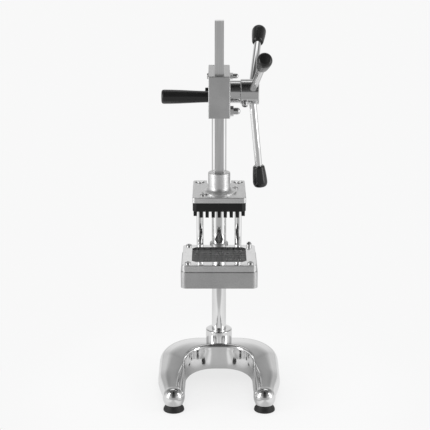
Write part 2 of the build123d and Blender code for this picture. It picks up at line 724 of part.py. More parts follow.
def gear_housing():
    low, high = HOUSING_BOTTOM_Z, HOUSING_TOP_Z
    body = block(HOUSING_HALF_W, HOUSING_REAR, HOUSING_FRONT, low, high, HOUSING_EDGE_R)
    body = fillet(body.edges().group_by(Axis.Z)[-1], 1.4)
    body -= slab(RACK_SIDE / 2 + SLIDE, RACK_SIDE + 2 * SLIDE, low - 1, high + 1)
    body -= spot(0, 0, 0) * rod(POST_R + FIT, low - 1, POST_TOP_Z)
    body -= block(SPLIT_W / 2, HOUSING_REAR - 1, 0, low - 1, high + 1)
    body -= on_shaft(cross_rod(CHAMBER_R, CHAMBER_FLOOR_X, HOUSING_HALF_W + 1))
    body -= on_shaft(cross_rod(LEFT_BUSH_R + FIT, -HOUSING_HALF_W - 1, 0))
    for z in clamp_bolt_heights():
        hole = cross_rod(SCREW_R + FIT, -HOUSING_HALF_W - 1, HOUSING_HALF_W + 1)
        body -= spot(0, CLAMP_DEPTH, z) * hole
    body -= spot(0, RACK_DEPTH, TENSION_Z) * cross_rod(TENSION_R + FIT, 0, HOUSING_HALF_W + 1)
    body -= spot(OIL_HOLE_X, OIL_HOLE_DEPTH, 0) * rod(OIL_HOLE_R, high - OIL_HOLE_H, high + 1)
    grip_hole = cross_rod(
        GRIP_STUD_R + FIT, -HOUSING_HALF_W - 1, GRIP_STUD_SEAT - HOUSING_HALF_W
    )
    return body - spot(0, RACK_DEPTH, GRIP_Z) * grip_hole


def housing_clamp_bolts():
    bolts = []
    end = HOUSING_HALF_W + NUT_H
    for z in clamp_bolt_heights():
        bolt = cross_rod(SCREW_HEAD_R, -HOUSING_HALF_W - SCREW_HEAD_H, -HOUSING_HALF_W)
        bolt = fillet(bolt.edges().group_by(Axis.X)[0], 1.0)
        bolt += cross_rod(SCREW_R, -HOUSING_HALF_W, end)
        bolts.append(spot(0, CLAMP_DEPTH, z) * bolt)
    return bolts


def along_x(solid, x):
    """Turns a solid drawn up Z so that it points along +X from x."""
    return Pos(x, 0, 0) * Rot(0, 90, 0) * solid


def domed(radius, low, high):
    """Round bar along Z with a domed end."""
    bar = rod(radius, low, high)
    return fillet(bar.edges().group_by(Axis.Z)[-1], radius * 0.9)


def housing_clamp_nuts():
    """Domed nuts on the clamp bolts."""
    nut = hexagon(CLAMP_NUT_FLATS, 0, NUT_H) + domed(CLAMP_DOME_R, 0, NUT_H + CLAMP_DOME_L)
    nut = along_x(nut - rod(SCREW_R + FIT, -1, NUT_H + GAP), HOUSING_HALF_W)
    return [spot(0, CLAMP_DEPTH, z) * nut for z in clamp_bolt_heights()]


def shaft_sleeve():
    """Bearing sleeve that closes the chamber and carries the shaft."""
    spigot_start = PINION_HALF_W + GAP
    sleeve = cross_rod(CHAMBER_R - FIT, spigot_start, HOUSING_HALF_W)
    collar = cross_rod(SLEEVE_R, HOUSING_HALF_W, SLEEVE_END_X)
    sleeve += chamfer(collar.edges(), 0.6)
    return on_shaft(sleeve - cross_rod(SHAFT_R + RUN, 0, SLEEVE_END_X + 1))


def shaft_bush():
    """Flanged bush in the housing's left wall."""
    bush = cross_rod(LEFT_BUSH_R, -HOUSING_HALF_W, CHAMBER_FLOOR_X)
    bush += cross_rod(LEFT_FLANGE_R, CHAMBER_FLOOR_X, -PINION_HALF_W - GAP)
    return on_shaft(bush - cross_rod(LEFT_JOURNAL_R + RUN, -HOUSING_HALF_W - 1, 0))


def tension_spot():
    return spot(0, RACK_DEPTH, TENSION_Z)


def rack_gib():
    """Pad that rubs on the rack bar and keeps it where it is put."""
    return tension_spot() * cross_rod(TENSION_R, GIB_END_X - GIB_L, GIB_END_X)


def tension_screw():
    head_start = HOUSING_HALF_W + NUT_H + GAP
    screw = cross_rod(TENSION_R, GIB_END_X, head_start)
    screw += along_x(domed(TENSION_HEAD_R, 0, TENSION_HEAD_L), head_start)
    return tension_spot() * screw


def tension_lock_nut():
    nut = hexagon(LOCK_NUT_FLATS, 0, NUT_H) - rod(TENSION_R + FIT, -1, NUT_H + 1)
    return tension_spot() * along_x(nut, HOUSING_HALF_W)


# Side grip ----------------------------------------------------------------------------


def grip_spot():
    """Frame whose Z axis points out of the housing's left wall."""
    return spot(-HOUSING_HALF_W, RACK_DEPTH, GRIP_Z) * Rot(0, -90, 0)


def grip_stud():
    return grip_spot() * rod(GRIP_STUD_R, -GRIP_STUD_SEAT, GRIP_STUD_REACH)


def side_grip():
    """Moulded grip that swells towards its outer end."""
    bore = GRIP_STUD_R + FIT
    edges = [
        Line((bore, 0, 0), (GRIP_ROOT_R, 0, 0)),
        Spline(
            (GRIP_ROOT_R, 0, 0),
            ((GRIP_ROOT_R + GRIP_END_R) / 2 + 0.4, 0, GRIP_L * 0.4),
            (GRIP_END_R, 0, GRIP_L - 3),
            tangents=[(0.06, 0, 1), (0, 0, 1)],
        ),
        ThreePointArc(
            (GRIP_END_R, 0, GRIP_L - 3),
            (GRIP_END_R - 0.9, 0, GRIP_L - 0.9),
            (GRIP_END_R - 3, 0, GRIP_L),
        ),
        Line((GRIP_END_R - 3, 0, GRIP_L), (0, 0, GRIP_L)),
        Line((0, 0, GRIP_L), (0, 0, GRIP_STUD_REACH + GAP)),
        Line((0, 0, GRIP_STUD_REACH + GAP), (bore, 0, GRIP_STUD_REACH + GAP)),
        Line((bore, 0, GRIP_STUD_REACH + GAP), (bore, 0, 0)),
    ]
    return grip_spot() * revolve(make_face(edges), Axis.Z)


# Turning handle -----------------------------------------------------------------------


def involute(angle):
    return tan(angle) - angle


def pinion_shaft():
    """Shaft with the pinion cut on it; one tooth points at the rack bar."""
    base_r = PITCH_R * cos(PRESSURE)
    root_r = PITCH_R - DEDENDUM
    tip_r = PITCH_R + PINION_ADDENDUM
    half_at_pitch = pi / (2 * TEETH) - BACKLASH / PITCH_R
    radii = [base_r + (tip_r - base_r) * k / 4 for k in range(5)]
    flank = []
    for r in radii:
        turn = half_at_pitch + involute(PRESSURE) - involute(acos(min(base_r / r, 1.0)))
        flank.append((r, turn))
    flank.insert(0, (root_r, flank[0][1]))
    points = []
    for k in range(TEETH):
        middle = pi + 2 * pi * k / TEETH
        for r, turn in flank:
            points.append((0, r * cos(middle - turn), r * sin(middle - turn)))
        for r, turn in reversed(flank):
            points.append((0, r * cos(middle + turn), r * sin(middle + turn)))
    outline = make_face(Polyline(*points, close=True))
    gear = extrude(outline, PINION_HALF_W, dir=(1, 0, 0), both=True)
    gear += cross_rod(SHAFT_R, PINION_HALF_W, SHAFT_END_X)
    gear += cross_rod(LEFT_JOURNAL_R, -HOUSING_HALF_W - GAP, -PINION_HALF_W)
    return on_shaft(gear)


def shaft_cap_screw():
    """Screw on the shaft's left end that keeps it in the housing."""
    start = -HOUSING_HALF_W - GAP
    head = cross_rod(CAP_HEAD_R + 2, start - CAP_HEAD_H, start)
    return on_shaft(fillet(head.edges().group_by(Axis.X)[0], 1.2))


def arm_frame(number):
    """Frame at the hub whose Z axis runs out along one arm."""
    turn = FIRST_ARM_ANGLE + 360 / ARM_COUNT * number
    root = spot(HUB_START_X + ARM_ROOT, PINION_DEPTH, PINION_Z)
    return root * Rot(turn, 0, 0) * Rot(0, ARM_LEAN, 0)


def hub_screw_frame():
    root = spot(HUB_START_X + HUB_SCREW_ROOT, PINION_DEPTH, PINION_Z)
    return root * Rot(HUB_SCREW_ANGLE, 0, 0)


def handle_hub():
    hub = cross_rod(HUB_R, HUB_START_X, HUB_END_X)
    hub = chamfer(hub.edges(), 1.2)
    hub = on_shaft(hub - cross_rod(SHAFT_R + FIT, 0, SHAFT_END_X))
    for number in range(ARM_COUNT):
        hub -= arm_frame(number) * rod(ARM_R + FIT, ARM_START, HUB_R + 5)
    return hub - hub_screw_frame() * rod(SCREW_R + FIT, SHAFT_R, HUB_R + 1)


def hub_set_screw():
    screw = cap_screw(SCREW_R, CAP_HEAD_R, HUB_SCREW_HEAD_H, HUB_R - SHAFT_R - FIT)
    return hub_screw_frame() * Pos(0, 0, HUB_R) * screw


def handle_arm(number):
    return arm_frame(number) * rod(ARM_R, ARM_START, ARM_END)


def knob(number):
    """Tapered knob with a full round end."""
    low = KNOB_REACH - KNOB_L
    bore = ARM_R + FIT
    edges = [
        Polyline(
            (0, 0, KNOB_REACH),
            (0, 0, ARM_END + GAP),
            (bore, 0, ARM_END + GAP),
            (bore, 0, low),
            (KNOB_ROOT_R - 1.5, 0, low),
            (KNOB_ROOT_R, 0, low + 1.5),
            (KNOB_END_R, 0, KNOB_REACH - 9),
        ),
        Spline(
            (KNOB_END_R, 0, KNOB_REACH - 9),
            (KNOB_END_R * 0.8, 0, KNOB_REACH - 2.4),
            (0, 0, KNOB_REACH),
            tangents=[(0.1, 0, 1), (-1, 0, 0)],
        ),
    ]
    return arm_frame(number) * revolve(make_face(edges), Axis.Z)


# Writing ------------------------------------------------------------------------------


def all_parts():
    """Every node by name, each a solid or a list of like solids."""
    nodes = {
        "base_casting": base_casting(),
        "foot_studs": foot_studs(),
        "post": post(),
        "base_set_screw": base_set_screw(),
        "chute_body": chute_body(),
        "chute_set_screw": chute_set_screw(),
        "blade_cassette": blade_cassette(),
        "blades_along": blades_along(),
        "blades_across": blades_across(),
        "clamp_plate": clamp_plate(),
        "clamp_screws": clamp_screws(),
        "tall_clamp_screw": tall_clamp_screw(),
        "guide_rod_left": guide_rod(-1),
        "guide_rod_right": guide_rod(1),
        "guide_rod_nuts": guide_rod_nuts(),
        "gear_housing": gear_housing(),
        "housing_clamp_bolts": housing_clamp_bolts(),
        "housing_clamp_nuts": housing_clamp_nuts(),
        "shaft_sleeve": shaft_sleeve(),
        "shaft_bush": shaft_bush(),
        "rack_gib": rack_gib(),
        "tension_screw": tension_screw(),
        "tension_lock_nut": tension_lock_nut(),
        "grip_stud": grip_stud(),
        "side_grip": side_grip(),
        "rack_bar": rack_bar(),
        "pusher_carrier": pusher_carrier(),
        "finger_block": finger_block(),
        "pusher_screws": pusher_screws(),
        "rack_set_screw": rack_set_screw(),
        "guide_bush_left": guide_bush(-1),
        "guide_bush_right": guide_bush(1),
        "pinion_shaft": pinion_shaft(),
        "shaft_cap_screw": shaft_cap_screw(),
        "handle_hub": handle_hub(),
        "hub_set_screw": hub_set_screw(),
    }
    for name, (x, depth) in foot_spots().items():
        nodes[name] = suction_foot(x, depth)
    for number in range(ARM_COUNT):
        nodes[f"handle_arm_{number + 1}"] = handle_arm(number)
        nodes[f"knob_{number + 1}"] = knob(number)
    return nodes


def main():
    os.makedirs("parts", exist_ok=True)
    for name, made in all_parts().items():
        solids = made if isinstance(made, list) else [made]
        loose = [solid for shape in solids for solid in shape.solids()]
        shape = loose[0] if len(loose) == 1 else Compound(children=loose)
        shape.label = name
        export_step(shape, f"parts/{name}.step")


main()
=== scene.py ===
import json
from contextlib import contextmanager
from math import cos, hypot, pi, radians, sin

import bmesh
import bpy
from bpy.props import FloatProperty, FloatVectorProperty, IntProperty, PointerProperty
from bpy.types import Operator, Panel, PropertyGroup
from mathutils import Matrix, Vector


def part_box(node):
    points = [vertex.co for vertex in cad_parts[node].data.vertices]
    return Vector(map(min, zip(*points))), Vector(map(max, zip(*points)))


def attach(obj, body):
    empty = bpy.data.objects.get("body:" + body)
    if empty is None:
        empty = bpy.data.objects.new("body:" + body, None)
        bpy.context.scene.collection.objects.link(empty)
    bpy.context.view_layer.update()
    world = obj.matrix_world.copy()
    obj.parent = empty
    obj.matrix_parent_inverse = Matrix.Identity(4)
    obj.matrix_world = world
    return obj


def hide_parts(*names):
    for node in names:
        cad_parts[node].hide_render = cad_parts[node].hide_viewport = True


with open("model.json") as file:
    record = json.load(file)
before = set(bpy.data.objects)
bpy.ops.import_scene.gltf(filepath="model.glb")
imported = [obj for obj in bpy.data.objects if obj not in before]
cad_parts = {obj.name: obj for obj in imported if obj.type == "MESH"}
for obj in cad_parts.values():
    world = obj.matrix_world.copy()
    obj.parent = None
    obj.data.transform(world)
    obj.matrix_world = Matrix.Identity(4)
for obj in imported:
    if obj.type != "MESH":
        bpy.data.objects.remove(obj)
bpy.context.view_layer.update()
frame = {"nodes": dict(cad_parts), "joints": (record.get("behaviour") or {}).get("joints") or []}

bl_info = {
    "name": "Rack press fry cutter",
    "version": (1, 0, 0),
    "blender": (4, 5, 0),
    "location": "3D View > Sidebar > Fry cutter",
    "description": "Dresses the pieces of a hand-cranked french fry cutter",
    "category": "Object",
}

NODES = frame["nodes"]


# --- Node writing ---


class Socket:
    """An output socket that takes part in sums written as Python expressions."""

    def __init__(self, tree, socket):
        self.tree = tree
        self.socket = socket

    def _math(self, operation, *terms):
        return self.tree.node("ShaderNodeMath", {"operation": operation}, dict(enumerate(terms)))

    def __add__(self, other):
        return self._math("ADD", self, other)

    def __radd__(self, other):
        return self._math("ADD", other, self)

    def __sub__(self, other):
        return self._math("SUBTRACT", self, other)

    def __rsub__(self, other):
        return self._math("SUBTRACT", other, self)

    def __mul__(self, other):
        return self._math("MULTIPLY", self, other)

    def __rmul__(self, other):
        return self._math("MULTIPLY", other, self)

    def __abs__(self):
        return self._math("ABSOLUTE", self)

    def sibling(self, output):
        """Another output of the same node."""
        return Socket(self.tree, self.socket.node.outputs[output])

    def between(self, low, high):
        """0 below low, 1 above high and a smooth climb between them."""
        ends = {"Value": self, "From Min": low, "From Max": high}
        return self.tree.node("ShaderNodeMapRange", {"interpolation_type": "SMOOTHSTEP"}, ends)


class Tree:
    """A node tree that is written node by node."""

    def __init__(self, tree):
        self.tree = tree
        tree.nodes.clear()

    def node(self, kind, settings=None, values=None, output=0):
        """Adds a node, makes its settings and then its sockets, and gives one output, if any."""
        made = self.tree.nodes.new(kind)
        for key, value in (settings or {}).items():
            if key == "stops":
                while len(made.color_ramp.elements) < len(value):
                    made.color_ramp.elements.new(0.5)
                for element, (place, tone) in zip(made.color_ramp.elements, value):
                    element.position = place
                    element.color = (tone, tone, tone, 1)
            else:
                setattr(made, key, value)
        for key, value in (values or {}).items():
            if isinstance(value, Socket):
                self.tree.links.new(value.socket, made.inputs[key])
            else:
                made.inputs[key].default_value = value
        return Socket(self, made.outputs[output]) if len(made.outputs) else None


class Shade(Tree):
    """The node tree of one material or of the world."""

    def place(self, scale=(1, 1, 1), turn=(0, 0, 0)):
        """Object coordinates, stretched and turned for a grain that runs one way."""
        values = {"Vector": self.node("ShaderNodeTexCoord", output="Object")}
        values.update({"Rotation": turn, "Scale": scale})
        return self.node("ShaderNodeMapping", {"vector_type": "POINT"}, values)

    def parts(self, vector):
        """The X, Y and Z of a vector."""
        first = self.node("ShaderNodeSeparateXYZ", {}, {"Vector": vector})
        return [first.sibling(k) for k in range(3)]

    def ramp(self, value, stops):
        """Number read off a line of (place, level) stops."""
        return self.node("ShaderNodeValToRGB", {"stops": stops}, {"Fac": value})

    def noise(self, vector, scale, detail=2.0, rough=0.5):
        values = {"Vector": vector, "Scale": scale, "Detail": detail, "Roughness": rough}
        return self.node("ShaderNodeTexNoise", {}, values)

    def mix(self, factor, dark, light):
        """Colour between two colours."""
        values = {0: factor, 6: dark, 7: light}
        return self.node("ShaderNodeMix", {"data_type": "RGBA"}, values, output=2)

    def bump(self, height, strength, distance):
        values = {"Height": height, "Strength": strength, "Distance": distance}
        return self.node("ShaderNodeBump", {}, values)


def tinted(tone, share=1.0, lift=0.0):
    """Colour with its alpha, lighter or darker than a tone by a share of it."""
    return (*(c * share + lift for c in tone[:3]), 1.0)


# --- Finishes ---


def start_material(name):
    material = bpy.data.materials.new(name)
    material.use_nodes = True
    return material, Shade(material.node_tree)


def finish(write):
    """Makes a finish the first time its name is asked for, and then hands it back."""

    def ask(name, *values):
        found = bpy.data.materials.get(name)
        if found:
            return found
        material, shade = start_material(name)
        skin = shade.node("ShaderNodeBsdfPrincipled", {}, write(shade, *values))
        shade.node("ShaderNodeOutputMaterial", {}, {"Surface": skin})
        return material

    return ask


@finish
def polished_metal(shade, tone, roughness, haze):
    """Buffed chrome: faint wide waves, buffing haze and a few hairline marks."""
    here = shade.place()
    cloud = shade.noise(here, 22.0, 3.0)
    marks = shade.noise(shade.place((260, 260, 22), (0.3, 0.2, 0.5)), 3.0)
    waves = shade.noise(here, 55.0, 1.0)
    return {
        "Base Color": shade.mix(cloud.between(0.3, 0.7), tinted(tone, 0.95), tinted(tone)),
        "Metallic": 1.0,
        "Roughness": roughness + cloud * haze + marks.between(0.62, 0.74) * 0.03,
        "Normal": shade.bump(waves, 0.06, 0.0004),
    }


@finish
def satin_alloy(shade, tone, roughness, grit):
    """Fine blasted and lightly buffed cast alloy."""
    here = shade.place()
    cloud = shade.noise(here, 30.0, 4.0)
    speckle = shade.noise(here, 760.0, 3.0)
    pits = shade.noise(here, 420.0, 1.0).between(0.66, 0.78)
    tint = (cloud * 0.4 + speckle * 0.6).between(0.35, 0.65)
    return {
        "Base Color": shade.mix(tint, tinted(tone, 0.88), tinted(tone, 1.06)),
        "Metallic": 1.0,
        "Roughness": roughness + (cloud - 0.5) * 0.14 + speckle * 0.06,
        "Normal": shade.bump(speckle * 0.7 - pits * 0.5, grit, 0.0003),
    }


@finish
def brushed_metal(shade, tone, roughness, along):
    """Ground steel whose grain runs along one axis."""
    stretch = [14.0 if axis == along else 900.0 for axis in "XYZ"]
    grain = shade.noise(shade.place(stretch), 1.0, 3.0, 0.6)
    cloud = shade.noise(shade.place(), 26.0, 3.0)
    return {
        "Base Color": shade.mix(grain.between(0.25, 0.75), tinted(tone, 0.86), tinted(tone)),
        "Metallic": 1.0,
        "Roughness": roughness + grain * 0.14 + (cloud - 0.5) * 0.1,
        "Normal": shade.bump(grain, 0.22, 0.0001),
    }


@finish
def turned_metal(shade, tone, roughness):
    """Small turned parts with a light zinc bloom."""
    here = shade.place()
    cloud = shade.noise(here, 180.0, 3.0)
    fine = shade.noise(here, 2400.0, 1.0)
    return {
        "Base Color": shade.mix(cloud.between(0.3, 0.7), tinted(tone, 0.82), tinted(tone)),
        "Metallic": 1.0,
        "Roughness": roughness + cloud * 0.16,
        "Normal": shade.bump(fine, 0.12, 0.0001),
    }


@finish
def moulded_plastic(shade, tone, roughness, grain, coat):
    """Black moulding with a fine skin and slightly uneven gloss."""
    here = shade.place()
    skin = shade.noise(here, 900.0)
    cloud = shade.noise(here, 40.0, 3.0)
    dust = shade.noise(here, 260.0, 4.0).between(0.6, 0.8)
    return {
        "Base Color": shade.mix(cloud * 0.6 + dust * 0.4, tinted(tone), tinted(tone, 1.6, 0.004)),
        "Roughness": roughness + (cloud - 0.5) * 0.16 + dust * 0.05,
        "Normal": shade.bump(skin, grain, 0.0002),
        "Specular IOR Level": 0.25,
        "Coat Weight": coat,
        "Coat Roughness": 0.12,
    }


@finish
def soft_rubber(shade, tone):
    """Dull rubber with mould flow and a little bloom."""
    here = shade.place()
    bloom = shade.noise(here, 120.0, 5.0)
    skin = shade.noise(here, 1300.0)
    return {
        "Base Color": shade.mix(bloom.between(0.35, 0.8), tinted(tone), tinted(tone, 2.2)),
        "Roughness": 0.42 + bloom * 0.25,
        "Normal": shade.bump(skin, 0.2, 0.0002),
    }


def grey(level):
    return (level, level, level)


def chromed_bar():
    return polished_metal("Chromed bar", grey(0.92), 0.04, 0.03)


def bright_zinc():
    return turned_metal("Bright zinc", grey(0.72), 0.14)


def grip_plastic(scene):
    return moulded_plastic("Grip plastic", scene.frycutter_black.tone, 0.24, 0.10, 0.6)


# --- Mesh writing ---

WELD = 1e-6  # points nearer than this are one
CORNER_SHARE = 0.45  # how much of an edge a rounded corner may take
STRAIGHT = 0.02  # a bend whose sine is smaller stays as it is


def linked(name, data):
    """An object of some data, linked to the scene."""
    thing = bpy.data.objects.new(name, data)
    bpy.context.scene.collection.objects.link(thing)
    return thing


def add_mesh(name, points, faces):
    mesh = bpy.data.meshes.new(name)
    mesh.from_pydata([tuple(p) for p in points], [], faces)
    return linked(name, mesh)


@contextmanager
def mesh_work(thing):
    """A bmesh of an object, written back when the work on it is done."""
    work = bmesh.new()
    work.from_mesh(thing.data)
    yield work
    work.to_mesh(thing.data)
    work.free()


def worked_out(thing):
    """Plain mesh of an object with its modifiers applied, which are then removed."""
    ready = thing.evaluated_get(bpy.context.evaluated_depsgraph_get())
    mesh = bpy.data.meshes.new_from_object(ready)
    thing.modifiers.clear()
    return mesh


def settle(thing, material, body, nodes, angle=40.0):
    """Closes a mesh, smooths it up to an angle and gives it its finish and body."""
    with mesh_work(thing) as work:
        bmesh.ops.remove_doubles(work, verts=work.verts, dist=WELD)
        bmesh.ops.recalc_face_normals(work, faces=work.faces)
    mesh = thing.data
    mesh.materials.clear()
    mesh.materials.append(material)
    mesh.polygons.foreach_set("material_index", [0] * len(mesh.polygons))
    mesh.polygons.foreach_set("use_smooth", [True] * len(mesh.polygons))
    mesh.set_sharp_from_angle(angle=radians(angle))
    mesh.update()
    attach(thing, body)
    if nodes:
        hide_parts(*nodes)


def soften(outline, radius, steps=4):
    """Rounds the inner corners of an open outline of (radius, height) points."""
    made = [outline[0]]
    for before, here, after in zip(outline, outline[1:], outline[2:]):
        a = Vector(before) - Vector(here)
        b = Vector(after) - Vector(here)
        reach = min(radius, a.length * CORNER_SHARE, b.length * CORNER_SHARE)
        if reach < WELD / 10 or abs(a.normalized().cross(b.normalized())) < STRAIGHT:
            made.append(here)
            continue
        start = Vector(here) + a.normalized() * reach
        end = Vector(here) + b.normalized() * reach
        for k in range(steps + 1):
            t = k / steps
            bend = start * (1 - t) ** 2 + Vector(here) * 2 * t * (1 - t) + end * t * t
            made.append(tuple(bend))
    made.append(outline[-1])
    return made


def quarter(centre_r, centre_h, half_w, height, steps):
    """Quarter of an ellipse from its side to its top, without the first point."""
    turns = [pi / 2 * k / steps for k in range(1, steps + 1)]
    return [(centre_r + half_w * cos(a), centre_h + height * sin(a)) for a in turns]


def turned(name, outline, place, segments=96):
    """Solid of revolution about the place's Z axis from (radius, height) points."""
    points, faces = [], []
    count = len(outline)
    for k in range(segments):
        angle = 2 * pi * k / segments
        for r, h in outline:
            points.append(place @ Vector((r * cos(angle), r * sin(angle), h)))
        here, there = k * count, (k + 1) % segments * count
        for i in range(count - 1):
            faces.append((here + i, there + i, there + i + 1, here + i + 1))
    return add_mesh(name, points, faces)


def axis_frame(centre, direction):
    """Matrix whose Z axis runs along a direction."""
    turn = Vector(direction).to_track_quat("Z", "Y").to_matrix().to_4x4()
    return Matrix.Translation(centre) @ turn


def middle(node):
    low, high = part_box(node)
    return (low + high) / 2


def upright(node):
    """Place on the ground under the middle of a node."""
    return Matrix.Translation((middle(node).x, middle(node).y, 0))


def box_middle(points):
    """Middle of the box round some points."""
    low = Vector([min(p[k] for p in points) for k in range(3)])
    high = Vector([max(p[k] for p in points) for k in range(3)])
    return (low + high) / 2


def machined_copy(name, node, material, body):
    """A joined copy of a CAD node's mesh, smooth round its curves and flat on its flats."""
    mesh = NODES[node].data.copy()
    if "custom_normal" in mesh.attributes:
        mesh.attributes.remove(mesh.attributes["custom_normal"])
    settle(linked(name, mesh), material, body, [node], angle=24.0)


# --- Geometry node writing ---

GROUND_SHARE = 0.16  # of a blade's thickness, left at its ground edge
EASED_SHARE = 0.32  # of a screw head's height, taken by its chamfer
HEAD_SIDES = 40


class Recipe(Tree):
    """A geometry node tree with named inputs, worked out on every seed point."""

    def __init__(self, name, **sizes):
        super().__init__(bpy.data.node_groups.new(name, "GeometryNodeTree"))
        face = self.tree.interface
        for side in ("INPUT", "OUTPUT"):
            face.new_socket("Geometry", in_out=side, socket_type="NodeSocketGeometry")
        for label, value in sizes.items():
            kind = "NodeSocketInt" if isinstance(value, int) else "NodeSocketFloat"
            face.new_socket(label, in_out="INPUT", socket_type=kind).default_value = value
        face.new_socket("Finish", in_out="INPUT", socket_type="NodeSocketMaterial")
        self.seeds = self.node("NodeGroupInput")
        self.sizes = [self.seeds.sibling(label) for label in sizes]

    def vector(self, x=0.0, y=0.0, z=0.0):
        return self.node("ShaderNodeCombineXYZ", {}, {"X": x, "Y": y, "Z": z})

    def changed(self, kind, geometry, **values):
        """A node that takes geometry and gives it back changed."""
        return self.node(kind, {}, {"Geometry": geometry, **values})

    def raised(self, geometry, height):
        return self.changed("GeometryNodeTransform", geometry, Translation=self.vector(z=height))

    def joined(self, *parts):
        whole = self.node("GeometryNodeJoinGeometry")
        for part in parts:
            self.tree.links.new(part.socket, whole.socket.node.inputs[0])
        return whole

    def copied(self, points, thing):
        values = {"Points": points, "Instance": thing}
        return self.node("GeometryNodeInstanceOnPoints", {}, values)

    def close(self, thing):
        """Puts the thing on the seed points, realizes it, sets its finish and ends the tree."""
        paint = self.seeds.sibling("Finish")
        solid = self.changed("GeometryNodeRealizeInstances", self.copied(self.seeds, thing))
        painted = self.changed("GeometryNodeSetMaterial", solid, Material=paint)
        self.node("NodeGroupOutput", {}, {"Geometry": painted})
        return self


def grown(name, recipe, seeds, **values):
    """Runs a recipe on seed points and returns its result as a plain mesh object."""
    seed = add_mesh(name + "_seed", seeds, [])
    change = seed.modifiers.new("recipe", "NODES")
    change.node_group = recipe.tree
    sockets = recipe.tree.interface.items_tree
    keys = {s.name: s.identifier for s in sockets if s.in_out == "INPUT"}
    for label, value in values.items():
        change[keys[label]] = value
    seed.update_tag()
    mesh = worked_out(seed)
    mesh.name = name
    bpy.data.objects.remove(seed)
    return linked(name, mesh)


def blade_recipe():
    """One row of thin upright blades with ground edges, side by side along X."""
    recipe = Recipe(
        "Blade row", Count=8, Pitch=0.01, Thickness=0.001, Length=0.089, Height=0.012,
        Edge=0.0022, Turn=0.0,
    )
    count, pitch, thick, length, height, edge_h, turn = recipe.sizes
    body_h = height - edge_h
    body, edge = (
        recipe.node("GeometryNodeMeshCube", {}, {"Size": recipe.vector(thick, length, h)})
        for h in (body_h, edge_h)
    )
    facing = {"Vector": recipe.node("GeometryNodeInputNormal")}
    up = recipe.node("ShaderNodeSeparateXYZ", {}, facing, output="Z")
    top = recipe.node("FunctionNodeCompare", {"operation": "GREATER_THAN"}, {0: up, 1: 0.5})
    thinned = {"Geometry": edge, "Selection": top, "Scale": GROUND_SHARE, "Axis": (1, 0, 0)}
    one_way = {"domain": "FACE", "scale_mode": "SINGLE_AXIS"}
    ground = recipe.node("GeometryNodeScaleElements", one_way, thinned)
    ground = recipe.raised(ground, edge_h * -0.5)
    blade = recipe.joined(ground, recipe.raised(body, body_h * -0.5 - edge_h))
    start, step = recipe.vector((count - 1.0) * pitch * -0.5), recipe.vector(pitch)
    run = {"Count": count, "Start Location": start, "Offset": step}
    line = recipe.node("GeometryNodeMeshLine", {"mode": "OFFSET"}, run)
    row, twist = recipe.copied(line, blade), recipe.vector(z=turn)
    return recipe.close(recipe.changed("GeometryNodeTransform", row, Rotation=twist))


def finger_recipe():
    """Rounded square fingers hanging from every seed point."""
    recipe = Recipe("Finger field", Width=0.0058, Length=0.0105, Corner=0.0006, Taper=0.94)
    width, length, corner, taper = recipe.sizes
    square = {"Width": width, "Height": width}
    plan = recipe.node("GeometryNodeCurvePrimitiveQuadrilateral", {}, square)
    corners = {"Curve": plan, "Count": 3, "Radius": corner}
    eased = recipe.node("GeometryNodeFilletCurve", {"mode": "POLY"}, corners)
    face = recipe.node("GeometryNodeFillCurve", {"mode": "NGONS"}, {"Curve": eased})
    pull = {"Mesh": face, "Offset": recipe.vector(z=length * -1.0), "Individual": False}
    pulled = recipe.node("GeometryNodeExtrudeMesh", {}, pull)
    ends = {"Geometry": pulled, "Selection": pulled.sibling("Top"), "Scale": taper}
    even = {"domain": "FACE", "scale_mode": "UNIFORM"}
    return recipe.close(recipe.node("GeometryNodeScaleElements", even, ends))


def screw_recipe():
    """Round screw heads with a hexagonal socket, standing on every seed point."""
    recipe = Recipe("Screw heads", Radius=0.005, Height=0.0026, Socket=0.0026)
    radius, height, socket = recipe.sizes
    ease_h = height * EASED_SHARE
    skirt_h = height - ease_h
    drum = {"Vertices": HEAD_SIDES, "Radius": radius, "Depth": skirt_h}
    skirt = recipe.node("GeometryNodeMeshCylinder", {}, drum)
    top = recipe.node("GeometryNodeMeshCone", {}, {
        "Vertices": HEAD_SIDES, "Side Segments": 1, "Radius Top": radius - ease_h,
        "Radius Bottom": radius, "Depth": ease_h,
    })
    head = recipe.joined(recipe.raised(skirt, skirt_h * 0.5), recipe.raised(top, skirt_h))
    welded = recipe.changed("GeometryNodeMergeByDistance", head, Distance=WELD)
    hexagon = {"Vertices": 6, "Radius": socket, "Depth": height}
    pocket = recipe.raised(recipe.node("GeometryNodeMeshCylinder", {}, hexagon), height)
    both = {"Mesh 1": welded, "Mesh 2": pocket}
    return recipe.close(recipe.node("GeometryNodeMeshBoolean", {"operation": "DIFFERENCE"}, both))


# --- Sizes and colours ---


def length(label, about, value):
    return FloatProperty(name=label, description=about, default=value, unit="LENGTH", precision=5)


def share(label, about, value):
    return FloatProperty(name=label, description=about, default=value, min=0.0, max=1.0)


def number(label, about, value):
    return IntProperty(name=label, description=about, default=value, min=1)


def colour(label, about, value):
    return FloatVectorProperty(
        name=label, description=about, default=value, subtype="COLOR", min=0.0, max=1.0
    )


